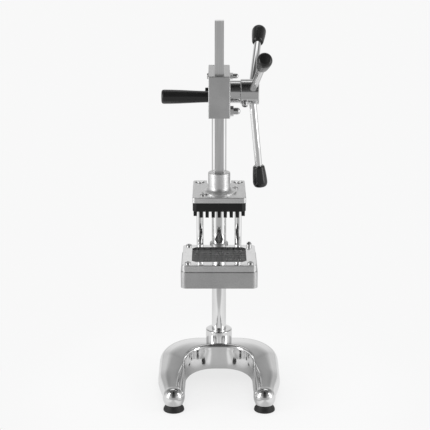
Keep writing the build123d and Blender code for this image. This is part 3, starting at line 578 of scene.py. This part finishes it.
class BaseSizes(PropertyGroup):
    """Horseshoe base casting."""

    half_width: length("Half width", "From the middle to the widest part of a leg", 0.1055)
    rear: length("Rear", "Rear edge behind the post's axis", 0.042)
    bridge: length("Bridge front", "Front edge of the bridge before the post's axis", 0.032)
    leg_inner: length("Leg inner side", "From the middle to a leg's inner side", 0.058)
    inner_round: length("Inner corner", "Radius of the inner corner", 0.050)
    outer_round: length("Outer corner", "Radius of the outer corner", 0.060)
    toe_radius: length("Toe radius", "Radius of the round toe in plan", 0.0185)
    toe_place: length("Toe place", "Toe centre before the post's axis", 0.150)
    crest: length("Crest", "Height of the bridge", 0.069)
    toe_crest: length("Toe crest", "Height of the toes", 0.041)
    arch: length("Arch", "Lower edge of the inner wall", 0.025)
    foot: length("Foot height", "Height of the casting's lower edge", 0.012)
    wall: length("Wall", "Thickness of the casting's wall", 0.005)
    skirt: length("Skirt", "Height of the skirt's foot that curls in", 0.010)
    tuck: length("Tuck", "How far the lower edge curls in under the casting", 0.003)
    lean: length("Lean", "How far the inner wall leans back", 0.003)
    crease: length("Crease", "Radius of the edge over the inner wall", 0.0075)
    tone: colour("Metal", "Colour of the polished casting", grey(0.86))
    roughness: share("Roughness", "Roughness of the polish", 0.06)


class AlloySizes(PropertyGroup):
    """Machined castings."""

    tone: colour("Alloy", "Colour of the satin castings", grey(0.80))
    roughness: share("Roughness", "Roughness of the satin skin", 0.36)
    grit: share("Grit", "Strength of the blasted skin", 0.22)


class BlackSizes(PropertyGroup):
    """Black mouldings."""

    tone: colour("Black", "Colour of the grips and the finger block", grey(0.008))
    rubber: colour("Rubber", "Colour of the suction feet", grey(0.010))
    finger_width: length("Finger", "Width of one finger", 0.0058)
    finger_pitch: length("Finger pitch", "Distance between fingers", 0.010)
    rows: number("Rows", "Fingers from rear to front", 8)
    columns: number("Columns", "Fingers from side to side", 9)


class BladeSizes(PropertyGroup):
    """Crossed blades."""

    along: number("Along", "Blades that run front to rear", 8)
    across: number("Across", "Blades that run side to side", 7)
    pitch: length("Pitch", "Distance between blades", 0.010)
    thickness: length("Thickness", "Thickness of a blade", 0.001)
    edge: length("Edge", "Height of the ground edge", 0.0022)
    tone: colour("Steel", "Colour of the blades", grey(0.52))


class StageSizes(PropertyGroup):
    """Camera, lamps and floor."""

    distance: length("Distance", "Camera before the post's axis", 2.170)
    height: length("Height", "Height of the camera", 0.921)
    offset: length("Offset", "Camera to the left of the middle", 0.007)
    tilt: FloatProperty(
        name="Tilt", description="Camera below the horizon", default=radians(16.0), subtype="ANGLE"
    )
    lens: FloatProperty(name="Lens", description="Focal length in mm", default=108.84, min=10)
    backdrop: share("Backdrop", "Brightness of the background", 0.94)


PLACES = {
    "frycutter_base": BaseSizes,
    "frycutter_alloy": AlloySizes,
    "frycutter_black": BlackSizes,
    "frycutter_blades": BladeSizes,
    "frycutter_stage": StageSizes,
}
POST_Y = middle("post").y


# --- Horseshoe base ---

BAR_SIDES = 128  # round the post, the rods and the collar
BRIDGE_STEPS, CORNER_STEPS, LEG_STEPS = 6, 26, 30
TOE_STEPS, PROFILE_STEPS = 32, 14
SIDE_END = 0.080  # the legs' outer sides draw in from here to the toes
CREST_HOLD = 1.3  # above 1 the crest stays up longer towards the toes
BRIDGE_POWER, TOE_POWER = 2.8, 2.2  # 2 gives an ellipse, more a squarer section
CURL_POWER = 1.5
SHELL_WELD = 2e-5
COLLAR_BORE, COLLAR_R, COLLAR_CHAMFER, BORE_CHAMFER = 0.0126, 0.0230, 0.0012, 0.0004
# Radius and depth under the crest, where the collar flares into the bridge
COLLAR_FOOT = ((COLLAR_R, 0.001), (0.0238, 0.003), (0.0255, 0.006), (COLLAR_BORE, 0.006))
COLLAR_EDGE = 0.0006


def straight(start, end, part):
    return start + (end - start) * part


def ease(start, end, part):
    part = min(max(part, 0.0), 1.0)
    return start + (end - start) * part * part * (3 - 2 * part)


def crown(half_w, height, roundness, count):
    """Points of a quarter crown from its top to its side."""
    power = 2 / roundness
    turns = [pi / 2 * k / count for k in range(count + 1)]
    return [(half_w * sin(a) ** power, height * abs(cos(a)) ** power) for a in turns]


def base_plan(sizes):
    """Pairs of plan points (x, depth) on the inner and outer edge, from the middle out."""
    inner_c = (sizes.leg_inner - sizes.inner_round, sizes.bridge + sizes.inner_round)
    outer_c = (sizes.half_width - sizes.outer_round, sizes.outer_round - sizes.rear)
    pairs = []
    for k in range(BRIDGE_STEPS):
        part = k / BRIDGE_STEPS
        pairs.append(((inner_c[0] * part, sizes.bridge), (outer_c[0] * part, -sizes.rear)))
    for k in range(CORNER_STEPS + 1):
        s, c = sin(pi / 2 * k / CORNER_STEPS), cos(pi / 2 * k / CORNER_STEPS)
        inner = (inner_c[0] + sizes.inner_round * s, inner_c[1] - sizes.inner_round * c)
        outer = (outer_c[0] + sizes.outer_round * s, outer_c[1] - sizes.outer_round * c)
        pairs.append((inner, outer))
    toe_x = sizes.leg_inner + 2 * sizes.toe_radius
    for k in range(1, LEG_STEPS + 1):
        part = k / LEG_STEPS
        inner, outer = (straight(c[1], sizes.toe_place, part) for c in (inner_c, outer_c))
        x = ease(sizes.half_width, toe_x, (outer - SIDE_END) / (sizes.toe_place - SIDE_END))
        pairs.append(((sizes.leg_inner, inner), (x, outer)))
    return pairs


def base_profile(sizes, inner, outer):
    """Section points (share across, height) from the inner foot over the crown."""
    steps = PROFILE_STEPS
    width = hypot(outer[0] - inner[0], outer[1] - inner[1])
    leg_start = sizes.bridge + sizes.inner_round
    along = (inner[1] - sizes.bridge) / (sizes.toe_place - sizes.bridge)
    toe = (inner[1] - leg_start) / (sizes.toe_place - leg_start)
    crest = straight(sizes.crest, sizes.toe_crest, max(along, 0.0) ** CREST_HOLD)
    lean = ease(sizes.lean, 0.0, toe)
    shoulder = ease(sizes.crease, width / 2, toe)
    skirt = sizes.foot + sizes.skirt
    wall_top = ease(crest - sizes.crease, skirt, toe)
    roundness = ease(BRIDGE_POWER, TOE_POWER, toe)
    low = straight(sizes.arch, sizes.foot, along)
    tuck_in = ease(0.0, sizes.tuck, toe)
    top_x = lean + shoulder
    section = []
    for k in range(steps):
        t = k / steps
        z = straight(low, wall_top, t)
        curl = tuck_in * max(1 - (z - low) / sizes.skirt, 0.0) ** CURL_POWER
        section.append((lean * t + curl, z))
    edge = crown(shoulder, crest - wall_top, roundness, steps)
    section += reversed([(top_x - a, wall_top + b) for a, b in edge])
    fall = crown(width - top_x, crest - skirt, roundness, steps)
    section += [(top_x + a, skirt + b) for a, b in fall[1:]]
    for k in range(1, steps + 1):
        t = 1 - k / steps
        z = sizes.foot + sizes.skirt * t
        section.append((width - sizes.tuck * (1 - t) ** CURL_POWER, z))
    return [(a / width, z) for a, z in section]


def base_columns(sizes, pairs):
    """Sections from one toe round the bridge to the other."""
    columns = []
    for side, run in ((-1, reversed(pairs[1:])), (1, pairs)):
        for inner, outer in run:
            column = []
            for part, z in base_profile(sizes, inner, outer):
                x, depth = (straight(a, b, part) for a, b in zip(inner, outer))
                column.append(Vector((side * x, POST_Y - depth, z)))
            columns.append(column)
    return columns


def base_toe(sizes, side, profile):
    """Half a leg's last section, swung round the toe's centre."""
    x = side * (sizes.leg_inner + sizes.toe_radius)
    centre = Vector((x, POST_Y - sizes.toe_place, 0))
    reach = [(2 * sizes.toe_radius * (0.5 - part), z) for part, z in profile]
    turns = [pi * k / TOE_STEPS for k in range(TOE_STEPS + 1)]
    return [
        [centre + Vector((-r * cos(a), -r * sin(a), z)) for r, z in reach] for a in turns
    ]


def lay_faces(columns, points, faces):
    """Adds columns of points and the faces between neighbouring ones."""
    start, count = len(points), len(columns[0])
    for column in columns:
        points.extend(column)
    for j in range(len(columns) - 1):
        for i in range(count - 1):
            a = start + j * count + i
            faces.append((a, a + count, a + count + 1, a + 1))


def thicken(shell, wall):
    """Gives the outer skin its wall, inwards."""
    with mesh_work(shell) as work:
        bmesh.ops.remove_doubles(work, verts=work.verts, dist=SHELL_WELD)
        bmesh.ops.recalc_face_normals(work, faces=work.faces)
        if sum(f.normal.z * f.calc_area() for f in work.faces) < 0:
            bmesh.ops.reverse_faces(work, faces=work.faces)
    solid = shell.modifiers.new("wall", "SOLIDIFY")
    solid.thickness = wall
    solid.offset = -1
    solid.use_rim = True
    shell.data = worked_out(shell)


def base_collar(sizes, material):
    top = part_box("base_casting")[1].z
    lip = (COLLAR_BORE, top - BORE_CHAMFER)
    outline = [lip, (COLLAR_BORE + BORE_CHAMFER, top), (COLLAR_R - COLLAR_CHAMFER, top)]
    outline.append((COLLAR_R, top - COLLAR_CHAMFER))
    outline += [(r, sizes.crest - depth) for r, depth in COLLAR_FOOT]
    place = Matrix.Translation((0, POST_Y, 0))
    ring = turned("base_collar", soften(outline + [lip], COLLAR_EDGE), place, BAR_SIDES)
    settle(ring, material, "frame", ())


class FRYCUTTER_OT_base(Operator):
    """Builds the polished horseshoe base with its collar"""

    bl_idname = "frycutter.base"
    bl_label = "Horseshoe base"

    def execute(self, context):
        sizes = context.scene.frycutter_base
        pairs = base_plan(sizes)
        points, faces = [], []
        lay_faces(base_columns(sizes, pairs), points, faces)
        profile = base_profile(sizes, *pairs[-1])[: 2 * PROFILE_STEPS + 1]
        for side in (-1, 1):
            lay_faces(base_toe(sizes, side, profile), points, faces)
        shell = add_mesh("horseshoe_base", points, faces)
        thicken(shell, sizes.wall)
        material = polished_metal("Polished casting", sizes.tone, sizes.roughness, 0.03)
        settle(shell, material, "frame", ["base_casting"], angle=50)
        base_collar(sizes, material)
        return {"FINISHED"}


# --- Pieces on the base ---

FOOT_OUTLINE = [
    (0.0031, 0.0120), (0.0128, 0.0120), (0.0138, 0.0106), (0.0150, 0.0072), (0.0171, 0.0040),
    (0.0177, 0.0016), (0.0177, 0.0), (0.0143, 0.0), (0.0123, 0.0018), (0.0060, 0.0046),
    (0.0031, 0.0050), (0.0031, 0.0120),
]
FOOT_EDGE, FOOT_SIDES = 0.0009, 72
BAR_EDGE = 0.001
CHUTE_H = 0.028
SPIGOT_R = 0.004
CENTRE_HOLE_R, CENTRE_HOLE_H = 0.0022, 0.005


class FRYCUTTER_OT_feet(Operator):
    """Builds the rubber suction feet"""

    bl_idname = "frycutter.feet"
    bl_label = "Suction feet"

    def execute(self, context):
        material = soft_rubber("Foot rubber", context.scene.frycutter_black.rubber)
        outline = soften(FOOT_OUTLINE, FOOT_EDGE)
        for node in sorted(n for n in NODES if n.startswith("foot_") and n != "foot_studs"):
            cup = turned(node.replace("foot", "suction_foot"), outline, upright(node), FOOT_SIDES)
            settle(cup, material, "frame", [node], angle=60)
        return {"FINISHED"}


class FRYCUTTER_OT_columns(Operator):
    """Builds the post and the two guide rods"""

    bl_idname = "frycutter.columns"
    bl_label = "Post and guide rods"

    def execute(self, context):
        for node in ("post", "guide_rod_left", "guide_rod_right"):
            low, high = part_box(node)
            radius = (high.x - low.x) / 2
            if node == "post":
                outline = [(0, low.z), (radius, low.z), (radius, high.z), (0, high.z)]
            else:
                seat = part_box("chute_body")[0].z + CHUTE_H
                hole = high.z - CENTRE_HOLE_H
                outline = [
                    (0, low.z), (SPIGOT_R, low.z), (SPIGOT_R, seat), (radius, seat),
                    (radius, high.z), (CENTRE_HOLE_R, high.z), (CENTRE_HOLE_R, hole), (0, hole),
                ]
            bar = turned(node + "_bar", soften(outline, BAR_EDGE), upright(node), BAR_SIDES)
            settle(bar, chromed_bar(), "frame", [node])
        return {"FINISHED"}


# --- Head and press ---

# Piece, node, body, slot and finish, with the finish's tone, roughness and grit as shares
CASTINGS = (
    ("gear_case", "gear_housing", "frame", "cast_alloy", "Cast alloy", 0.76, 1.0, 1.0),
    ("chute", "chute_body", "frame", "cast_alloy", "Cast alloy", 0.76, 1.0, 1.0),
    ("clamp_frame", "clamp_plate", "frame", "cast_alloy", "Buffed alloy", 1.02, 0.25, 0.2),
    ("blade_frame", "blade_cassette", "frame", "cassette_alloy", "Cassette alloy", 0.7, 1.0, 1.0),
    ("pusher_flange", "pusher_carrier", "press", "cast_alloy", "Satin alloy", 1.0, 1.0, 1.0),
)
ACROSS_DROP = 2e-5  # keeps the tops of crossing blades out of one plane
BAND_H, BAND_CUT, BAND_EDGE = 0.015, 0.006, 0.0006
FINGER_SINK = 0.0002  # how far a finger reaches into the band
# Node, body, radius and height
SCREW_HEADS = (
    ("clamp_screws", "frame", 0.0052, 0.0026),
    ("tall_clamp_screw", "frame", 0.0044, 0.0070),
    ("pusher_screws", "press", 0.0052, 0.0026),
)
SOCKET_SHARE = 0.52
HEAD_REACH = 0.012  # points nearer than this belong to one screw


class FRYCUTTER_OT_castings(Operator):
    """Finishes the machined castings"""

    bl_idname = "frycutter.castings"
    bl_label = "Machined castings"

    def execute(self, context):
        sizes = context.scene.frycutter_alloy
        for piece, node, body, slot, name, tone, rough, grit in CASTINGS:
            look = (tinted(sizes.tone, tone), sizes.roughness * rough, sizes.grit * grit)
            machined_copy(piece, node, satin_alloy(name, *look), body)
        return {"FINISHED"}


class FRYCUTTER_OT_blades(Operator):
    """Builds the crossed blades"""

    bl_idname = "frycutter.blades"
    bl_label = "Crossed blades"

    def execute(self, context):
        sizes = context.scene.frycutter_blades
        # The blades that run front to rear wear a copy of the blade steel at a quarter of its tone:
        # painted shade on them; the blades across keep the steel's own tone
        dark = brushed_metal("Blade steel", tinted(sizes.tone, 0.25), 0.30, "Z")
        light = brushed_metal("Blade steel across", sizes.tone, 0.22, "Z")
        recipe = blade_recipe()
        for node, count, turn, steel in (
            ("blades_along", sizes.along, 0.0, dark),
            ("blades_across", sizes.across, pi / 2, light),
        ):
            low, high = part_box(node)
            span = high - low
            seed = middle(node)
            seed.z = high.z - (ACROSS_DROP if turn else 0)
            row = grown(
                node + "_ground", recipe, [seed], Count=count, Pitch=sizes.pitch,
                Thickness=sizes.thickness, Length=span.x if turn else span.y, Height=span.z,
                Edge=sizes.edge, Turn=turn, Finish=steel,
            )
            settle(row, steel, "frame", [node], angle=10)
        return {"FINISHED"}


def finger_band(low, high, band_low):
    """Slab with cut corners and rounded edges."""
    centre, half = (low + high) / 2, (high - low) / 2
    x, y = half.x, half.y
    a, b = x - BAND_CUT, y - BAND_CUT
    ring = [(x, b), (a, y), (-a, y), (-x, b), (-x, -b), (-a, -y), (a, -y), (x, -b)]
    count = len(ring)
    points = [(centre.x + p, centre.y + q, z) for z in (band_low, high.z) for p, q in ring]
    faces = [tuple(range(count)), tuple(range(count, 2 * count))]
    for i in range(count):
        j = (i + 1) % count
        faces.append((i, j, count + j, count + i))
    band = add_mesh("finger_block_band", points, faces)
    with mesh_work(band) as work:
        bmesh.ops.recalc_face_normals(work, faces=work.faces)
        edges = work.edges[:]
        bmesh.ops.bevel(work, geom=edges, offset=BAND_EDGE, segments=3, profile=0.5, affect="EDGES")
    return band


def finger_places(sizes, height):
    """Where the fingers stand: everywhere but at the four corners."""
    centre, pitch = middle("finger_block"), sizes.finger_pitch
    last_i, last_j = sizes.columns - 1, sizes.rows - 1
    return [
        (centre.x + (i - last_i / 2) * pitch, centre.y + (j - last_j / 2) * pitch, height)
        for i in range(last_i + 1)
        for j in range(last_j + 1)
        if i not in (0, last_i) or j not in (0, last_j)
    ]


class FRYCUTTER_OT_fingers(Operator):
    """Builds the black finger block"""

    bl_idname = "frycutter.fingers"
    bl_label = "Finger block"

    def execute(self, context):
        sizes = context.scene.frycutter_black
        black = moulded_plastic("Block plastic", sizes.tone, 0.42, 0.25, 0.0)
        low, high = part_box("finger_block")
        band_low = high.z - BAND_H
        band = finger_band(low, high, band_low)
        fingers = grown(
            "finger_block_fingers", finger_recipe(), finger_places(sizes, band_low + FINGER_SINK),
            Width=sizes.finger_width, Length=band_low - low.z + FINGER_SINK, Finish=black,
        )
        settle(band, black, "press", ["finger_block"], angle=30)
        settle(fingers, black, "press", ())
        return {"FINISHED"}


def screw_places(node, height):
    """Where each screw of a node seats, found from its separate groups of points."""
    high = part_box(node)[1].z
    found = []
    for vertex in NODES[node].data.vertices:
        if high - vertex.co.z > 1e-5:
            continue
        near = [g for g in found if (g[0].xy - vertex.co.xy).length < HEAD_REACH]
        if near:
            near[0].append(vertex.co.copy())
        else:
            found.append([vertex.co.copy()])
    tops = [box_middle(group) for group in found]
    return [(top.x, top.y, high - height) for top in tops]


class FRYCUTTER_OT_fasteners(Operator):
    """Builds the screw heads of the plate and of the pusher"""

    bl_idname = "frycutter.fasteners"
    bl_label = "Screw heads"

    def execute(self, context):
        zinc, recipe = bright_zinc(), screw_recipe()
        for node, body, radius, height in SCREW_HEADS:
            ring = grown(
                node + "_heads", recipe, screw_places(node, height), Radius=radius,
                Height=height, Socket=radius * SOCKET_SHARE, Finish=zinc,
            )
            settle(ring, zinc, body, [node], angle=25)
        return {"FINISHED"}


# --- Turning handle and side grip ---

ARM_R, ARM_EDGE, ARM_SIDES = 0.006, 0.0005, 64
ARM_PART = 0.07  # an arm's root end is nearer to the shaft's middle than this
KNOB_OVERHANG, KNOB_L = 0.025, 0.038
KNOB_BORE, KNOB_ROOT_R, KNOB_CHAMFER = 0.0061, 0.0098, 0.0015
KNOB_FLARE, KNOB_SWELL, KNOB_SIDE = 0.0025, 0.0004, 0.0267
KNOB_END = (0.0051, 0.0086)  # half width and height of the round at the outer end
KNOB_TIP, KNOB_TIP_H, KNOB_DISH = 0.0042, 0.0005, 0.001
KNOB_STEPS = 12
GRIP_BORE, GRIP_ROOT_R, GRIP_CHAMFER, GRIP_ROUND = 0.0041, 0.0094, 0.0006, 0.004
GRIP_STEPS, GRIP_ROUND_STEPS = 24, 8
GRIP_SWELL, GRIP_DISH = 0.85, 0.0005  # below 1 the grip swells early
# Finish, slot and body of the small pieces
HARDWARE = (
    ("zinc", "fastener_steel", "frame", (
        "base_set_screw", "chute_set_screw", "foot_studs", "guide_rod_nuts",
        "housing_clamp_bolts", "housing_clamp_nuts",
    )),
    ("brass", "bush_brass", "frame", ("shaft_bush", "rack_gib")),
    ("zinc", "fastener_steel", "frame", ("tension_screw", "tension_lock_nut", "grip_stud")),
    ("black", "black_steel", "press", ("rack_set_screw", "guide_bush_left", "guide_bush_right")),
    ("zinc", "fastener_steel", "handle", ("hub_set_screw",)),
    ("black", "black_steel", "handle", ("shaft_cap_screw",)),
)


def knob_outline(far):
    """Outline that flares slightly to a rounded end."""
    near = far - KNOB_L
    side = near + KNOB_CHAMFER
    end_r, end_h = KNOB_END
    outline = [(KNOB_BORE, near), (KNOB_ROOT_R - KNOB_CHAMFER, near), (KNOB_ROOT_R, side)]
    for k in range(1, KNOB_STEPS + 1):
        t = k / KNOB_STEPS
        swell = KNOB_FLARE * t + KNOB_SWELL * sin(pi * t)
        outline.append((KNOB_ROOT_R + swell, side + KNOB_SIDE * t))
    centre_r = KNOB_ROOT_R + KNOB_FLARE - end_r
    outline += quarter(centre_r, side + KNOB_SIDE, end_r, end_h, KNOB_STEPS)
    outline += [(KNOB_TIP, far - KNOB_TIP_H), (0, far), (0, near + KNOB_DISH)]
    return outline + [(KNOB_BORE, near)]


class FRYCUTTER_OT_crank(Operator):
    """Builds the hub, its sleeve, the arms and the knobs"""

    bl_idname = "frycutter.crank"
    bl_label = "Turning handle"

    def execute(self, context):
        chrome = polished_metal("Chromed hub", grey(0.74), 0.10, 0.06)
        machined_copy("crank_hub", "handle_hub", chrome, "handle")
        machined_copy("crank_sleeve", "shaft_sleeve", chrome, "frame")
        joint = next(j for j in frame["joints"] if j["type"] == "hinge")
        pivot = Vector(joint["pos_m"])
        for arm in (1, 2, 3):
            rim = [v.co for v in NODES[f"handle_arm_{arm}"].data.vertices]
            root = box_middle([p for p in rim if (p - pivot).length < ARM_PART])
            end = box_middle([p for p in rim if (p - pivot).length > ARM_PART])
            reach = (end - root).length
            place = axis_frame(root, end - root)
            rod = soften([(0, 0), (ARM_R, 0), (ARM_R, reach), (0, reach)], ARM_EDGE)
            bar = turned(f"crank_arm_{arm}", rod, place, ARM_SIDES)
            settle(bar, chromed_bar(), "handle", [f"handle_arm_{arm}"])
            knob = turned(f"crank_knob_{arm}", knob_outline(reach + KNOB_OVERHANG), place)
            settle(knob, grip_plastic(context.scene), "handle", [f"knob_{arm}"])
        return {"FINISHED"}


class FRYCUTTER_OT_grip(Operator):
    """Builds the fixed side grip"""

    bl_idname = "frycutter.grip"
    bl_label = "Side grip"

    def execute(self, context):
        low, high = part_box("side_grip")
        centre = middle("side_grip")
        end_r, reach = (high.z - low.z) / 2, high.x - low.x
        side = reach - GRIP_ROUND - GRIP_CHAMFER
        root = GRIP_ROOT_R - GRIP_CHAMFER
        outline = [(GRIP_BORE, 0.0), (root, 0.0), (GRIP_ROOT_R, GRIP_CHAMFER)]
        for k in range(1, GRIP_STEPS + 1):
            t = k / GRIP_STEPS
            outline.append((ease(GRIP_ROOT_R, end_r, t ** GRIP_SWELL), GRIP_CHAMFER + side * t))
        middle_r, middle_h = end_r - GRIP_ROUND, reach - GRIP_ROUND
        outline += quarter(middle_r, middle_h, GRIP_ROUND, GRIP_ROUND, GRIP_ROUND_STEPS)
        outline += [(0.0, reach), (0.0, GRIP_DISH), (GRIP_BORE, 0.0)]
        place = axis_frame((high.x, centre.y, centre.z), (-1, 0, 0))
        grip = turned("side_grip_moulding", outline, place)
        settle(grip, grip_plastic(context.scene), "frame", ["side_grip"])
        return {"FINISHED"}


class FRYCUTTER_OT_steelwork(Operator):
    """Finishes the rack bar, the shaft, the bushes and the loose hardware"""

    bl_idname = "frycutter.steelwork"
    bl_label = "Rack bar and hardware"

    def execute(self, context):
        ground = brushed_metal("Ground steel", grey(0.84), 0.24, "Z")
        gear = brushed_metal("Gear steel", grey(0.62), 0.24, "X")
        machined_copy("rack", "rack_bar", ground, "press")
        machined_copy("pinion", "pinion_shaft", gear, "handle")
        finishes = {
            "zinc": bright_zinc(),
            "brass": turned_metal("Turned brass", (0.72, 0.52, 0.24), 0.24),
            "black": turned_metal("Black oxide", grey(0.035), 0.34),
        }
        for name, slot, body, nodes in HARDWARE:
            for node in nodes:
                machined_copy(node + "_finished", node, finishes[name], body)
        return {"FINISHED"}


# --- Stage ---

FLOOR_R, FLOOR_SIDES = 0.75, 96
# Tone of the floor as only mirrors see it, by the distance from the middle line: painted shade
# ahead of the base, painted shadow of the legs and toes just ahead of them, and painted shade
# between the legs
FLOOR_FAR_PAINTED_SHADE = [(0.0, 0.40), (0.18, 0.44), (0.26, 0.60), (0.36, 0.95)]
FLOOR_AHEAD_PAINTED_SHADOW = [
    (0.0, 0.38), (0.018, 0.42), (0.032, 0.82), (0.055, 0.80), (0.068, 0.50), (0.09, 0.50),
    (0.11, 0.85),
]
FLOOR_BETWEEN_PAINTED_SHADE = [(0.0, 0.34), (0.035, 0.42), (0.06, 0.48), (0.09, 0.80)]
FLOOR_BEHIND = 0.75
# Reflected tone of the room, by the turn from straight ahead (0) to straight behind (1)
ROOM_LOW = [
    (0.0, 0.40), (0.24, 0.46), (0.31, 0.92), (0.42, 1.0), (0.58, 1.0), (0.68, 0.50),
    (0.90, 0.50), (1.0, 0.75),
]
ROOM_HIGH = [
    (0.0, 0.09), (0.07, 0.12), (0.15, 0.45), (0.27, 0.85), (0.52, 0.85), (0.66, 0.48),
    (0.78, 0.50), (0.90, 0.78), (1.0, 0.85),
]
ROOM_FALLOFF = [(0.0, 1.0), (0.32, 1.0), (0.50, 0.54), (0.74, 0.40), (0.9, 0.14)]
ROOM_FILL = 0.8
# Name, place, size, power and whether metal mirrors it
SOFTBOXES = (
    ("left_softbox", (-1.3, -0.7, 0.75), (0.5, 1.4), 6.0, True),
    ("right_softbox", (1.4, -0.6, 0.75), (0.5, 1.4), 5.0, True),
    ("top_softbox", (0.0, 0.1, 2.0), (1.2, 1.2), 10.0, False),
)
LAMP_AIM = Vector((0, 0, 0.3))


def lay_floor(sizes):
    """Pale disc that keeps the shadow near the object and fades into the backdrop; what mirrors see
    of it is darkened by painted shade near the base.
    """
    turns = [2 * pi * k / FLOOR_SIDES for k in range(FLOOR_SIDES)]
    ring = [(FLOOR_R * cos(a), FLOOR_R * sin(a), 0.0) for a in turns]
    floor = add_mesh("floor", ring, [tuple(range(FLOOR_SIDES))])
    material, shade = start_material("Pale floor")
    here = shade.node("ShaderNodeTexCoord", output="Object")
    across, along, _ = shade.parts(here)
    side = abs(across)
    # Masks for the floor's tone in reflections: painted shade between the legs and ahead of the
    # base, and a flat lower tone behind
    inside, near = along.between(-0.13, -0.10), along.between(-0.27, -0.21)
    behind = along.between(0.05, 0.12)
    ahead = shade.ramp(side, FLOOR_FAR_PAINTED_SHADE) * (1 - near) + shade.ramp(side, FLOOR_AHEAD_PAINTED_SHADOW) * near
    front = ahead * (1 - inside) + shade.ramp(side, FLOOR_BETWEEN_PAINTED_SHADE) * inside
    tone = front * (1 - behind) + behind * FLOOR_BEHIND
    # Only mirrors see the painted shade; to the camera the floor glows at the backdrop's brightness
    mirror = shade.node("ShaderNodeLightPath", output="Is Glossy Ray")
    lit = {"Color": tinted(grey(sizes.backdrop)), "Strength": 1 - mirror * (1 - tone)}
    glow = shade.node("ShaderNodeEmission", {}, lit)
    grain = shade.mix(shade.noise(here, 40.0), tinted(grey(0.9)), tinted(grey(0.92)))
    matt = shade.node("ShaderNodeBsdfDiffuse", {}, {"Color": grain})
    far = shade.node("ShaderNodeVectorMath", {"operation": "LENGTH"}, {0: here}, output="Value")
    plain = far.between(0.20, 0.40) * 0.2 + 0.8
    both = shade.node("ShaderNodeMixShader", {}, {0: plain, 1: matt, 2: glow})
    shade.node("ShaderNodeOutputMaterial", {}, {"Surface": both})
    floor.data.materials.append(material)


def light_world(scene, sizes):
    """Plain backdrop to the camera and a room of grey bands to what mirrors it."""
    world = bpy.data.worlds.new("Studio")
    scene.world = world
    world.use_nodes = True
    shade = Shade(world.node_tree)
    x, y, z = shade.parts(shade.node("ShaderNodeTexCoord", output="Generated"))
    turn = shade.node("ShaderNodeMath", {"operation": "ARCTAN2"}, {0: abs(x), 1: 0 - y})
    turn = turn * (1 / pi)
    panel = z.between(0.80, 0.86) * y.between(0.28, 0.38)
    high = shade.ramp(turn, ROOM_HIGH) * shade.ramp(z, ROOM_FALLOFF) + panel
    ahead = 1 - y.between(-0.7, 0.1)
    up = ahead * z.between(0.05, 0.26) + (1 - ahead) * z.between(-0.08, 0.02)
    room = shade.ramp(turn, ROOM_LOW) * (1 - up) + high * up
    seen = shade.node("ShaderNodeLightPath", output="Is Camera Ray")
    mirror = seen.sibling("Is Glossy Ray")
    unseen = mirror * room + (1 - mirror) * ROOM_FILL
    strength = seen * sizes.backdrop + (1 - seen) * unseen
    glow = shade.node("ShaderNodeBackground", {}, {"Color": (1, 1, 1, 1), "Strength": strength})
    shade.node("ShaderNodeOutputWorld", {}, {"Surface": glow})


def hang_lamps():
    for name, place, size, power, mirrored in SOFTBOXES:
        data = bpy.data.lights.new(name, "AREA")
        data.shape = "RECTANGLE"
        data.size, data.size_y = size
        data.energy = power
        lamp = linked(name, data)
        lamp.location = place
        lamp.visible_glossy = mirrored
        lamp.rotation_euler = (LAMP_AIM - Vector(place)).to_track_quat("-Z", "Y").to_euler()


def place_camera(scene, sizes):
    data = bpy.data.cameras.new("camera")
    data.sensor_width = 36.0
    data.lens = sizes.lens
    data.clip_start, data.clip_end = 0.05, 50.0
    eye = linked("camera", data)
    eye.location = (-sizes.offset, POST_Y - sizes.distance, sizes.height)
    eye.rotation_euler = (pi / 2 - sizes.tilt, 0, 0)
    scene.camera = eye


class FRYCUTTER_OT_stage(Operator):
    """Sets the floor, the backdrop, the lamps and the camera"""

    bl_idname = "frycutter.stage"
    bl_label = "Studio stage"

    def execute(self, context):
        sizes = context.scene.frycutter_stage
        lay_floor(sizes)
        light_world(context.scene, sizes)
        hang_lamps()
        place_camera(context.scene, sizes)
        context.scene.view_settings.view_transform = "Standard"
        return {"FINISHED"}


class FRYCUTTER_PT_panel(Panel):
    """Lists the pieces of the fry cutter and their sizes"""

    bl_label = "Fry cutter"
    bl_idname = "FRYCUTTER_PT_panel"
    bl_space_type = "VIEW_3D"
    bl_region_type = "UI"
    bl_category = "Fry cutter"

    def draw(self, context):
        for operator in OPERATORS:
            self.layout.operator(operator.bl_idname)
        for label, group in PLACES.items():
            box = self.layout.box()
            box.label(text=group.__doc__)
            for key in group.__annotations__:
                box.prop(getattr(context.scene, label), key)


OPERATORS = (
    FRYCUTTER_OT_base,
    FRYCUTTER_OT_feet,
    FRYCUTTER_OT_columns,
    FRYCUTTER_OT_castings,
    FRYCUTTER_OT_blades,
    FRYCUTTER_OT_fingers,
    FRYCUTTER_OT_fasteners,
    FRYCUTTER_OT_crank,
    FRYCUTTER_OT_grip,
    FRYCUTTER_OT_steelwork,
    FRYCUTTER_OT_stage,
)


def register():
    for label, group in PLACES.items():
        bpy.utils.register_class(group)
        setattr(bpy.types.Scene, label, PointerProperty(type=group))
    for operator in OPERATORS:
        bpy.utils.register_class(operator)
    bpy.utils.register_class(FRYCUTTER_PT_panel)


def unregister():
    bpy.utils.unregister_class(FRYCUTTER_PT_panel)
    for operator in reversed(OPERATORS):
        bpy.utils.unregister_class(operator)
    for label, group in reversed(PLACES.items()):
        delattr(bpy.types.Scene, label)
        bpy.utils.unregister_class(group)


def main():
    register()
    bpy.ops.frycutter.base()
    bpy.ops.frycutter.feet()
    bpy.ops.frycutter.columns()
    bpy.ops.frycutter.castings()
    bpy.ops.frycutter.blades()
    bpy.ops.frycutter.fingers()
    bpy.ops.frycutter.fasteners()
    bpy.ops.frycutter.crank()
    bpy.ops.frycutter.grip()
    bpy.ops.frycutter.steelwork()
    bpy.ops.frycutter.stage()


if __name__ == "__main__":
    main()
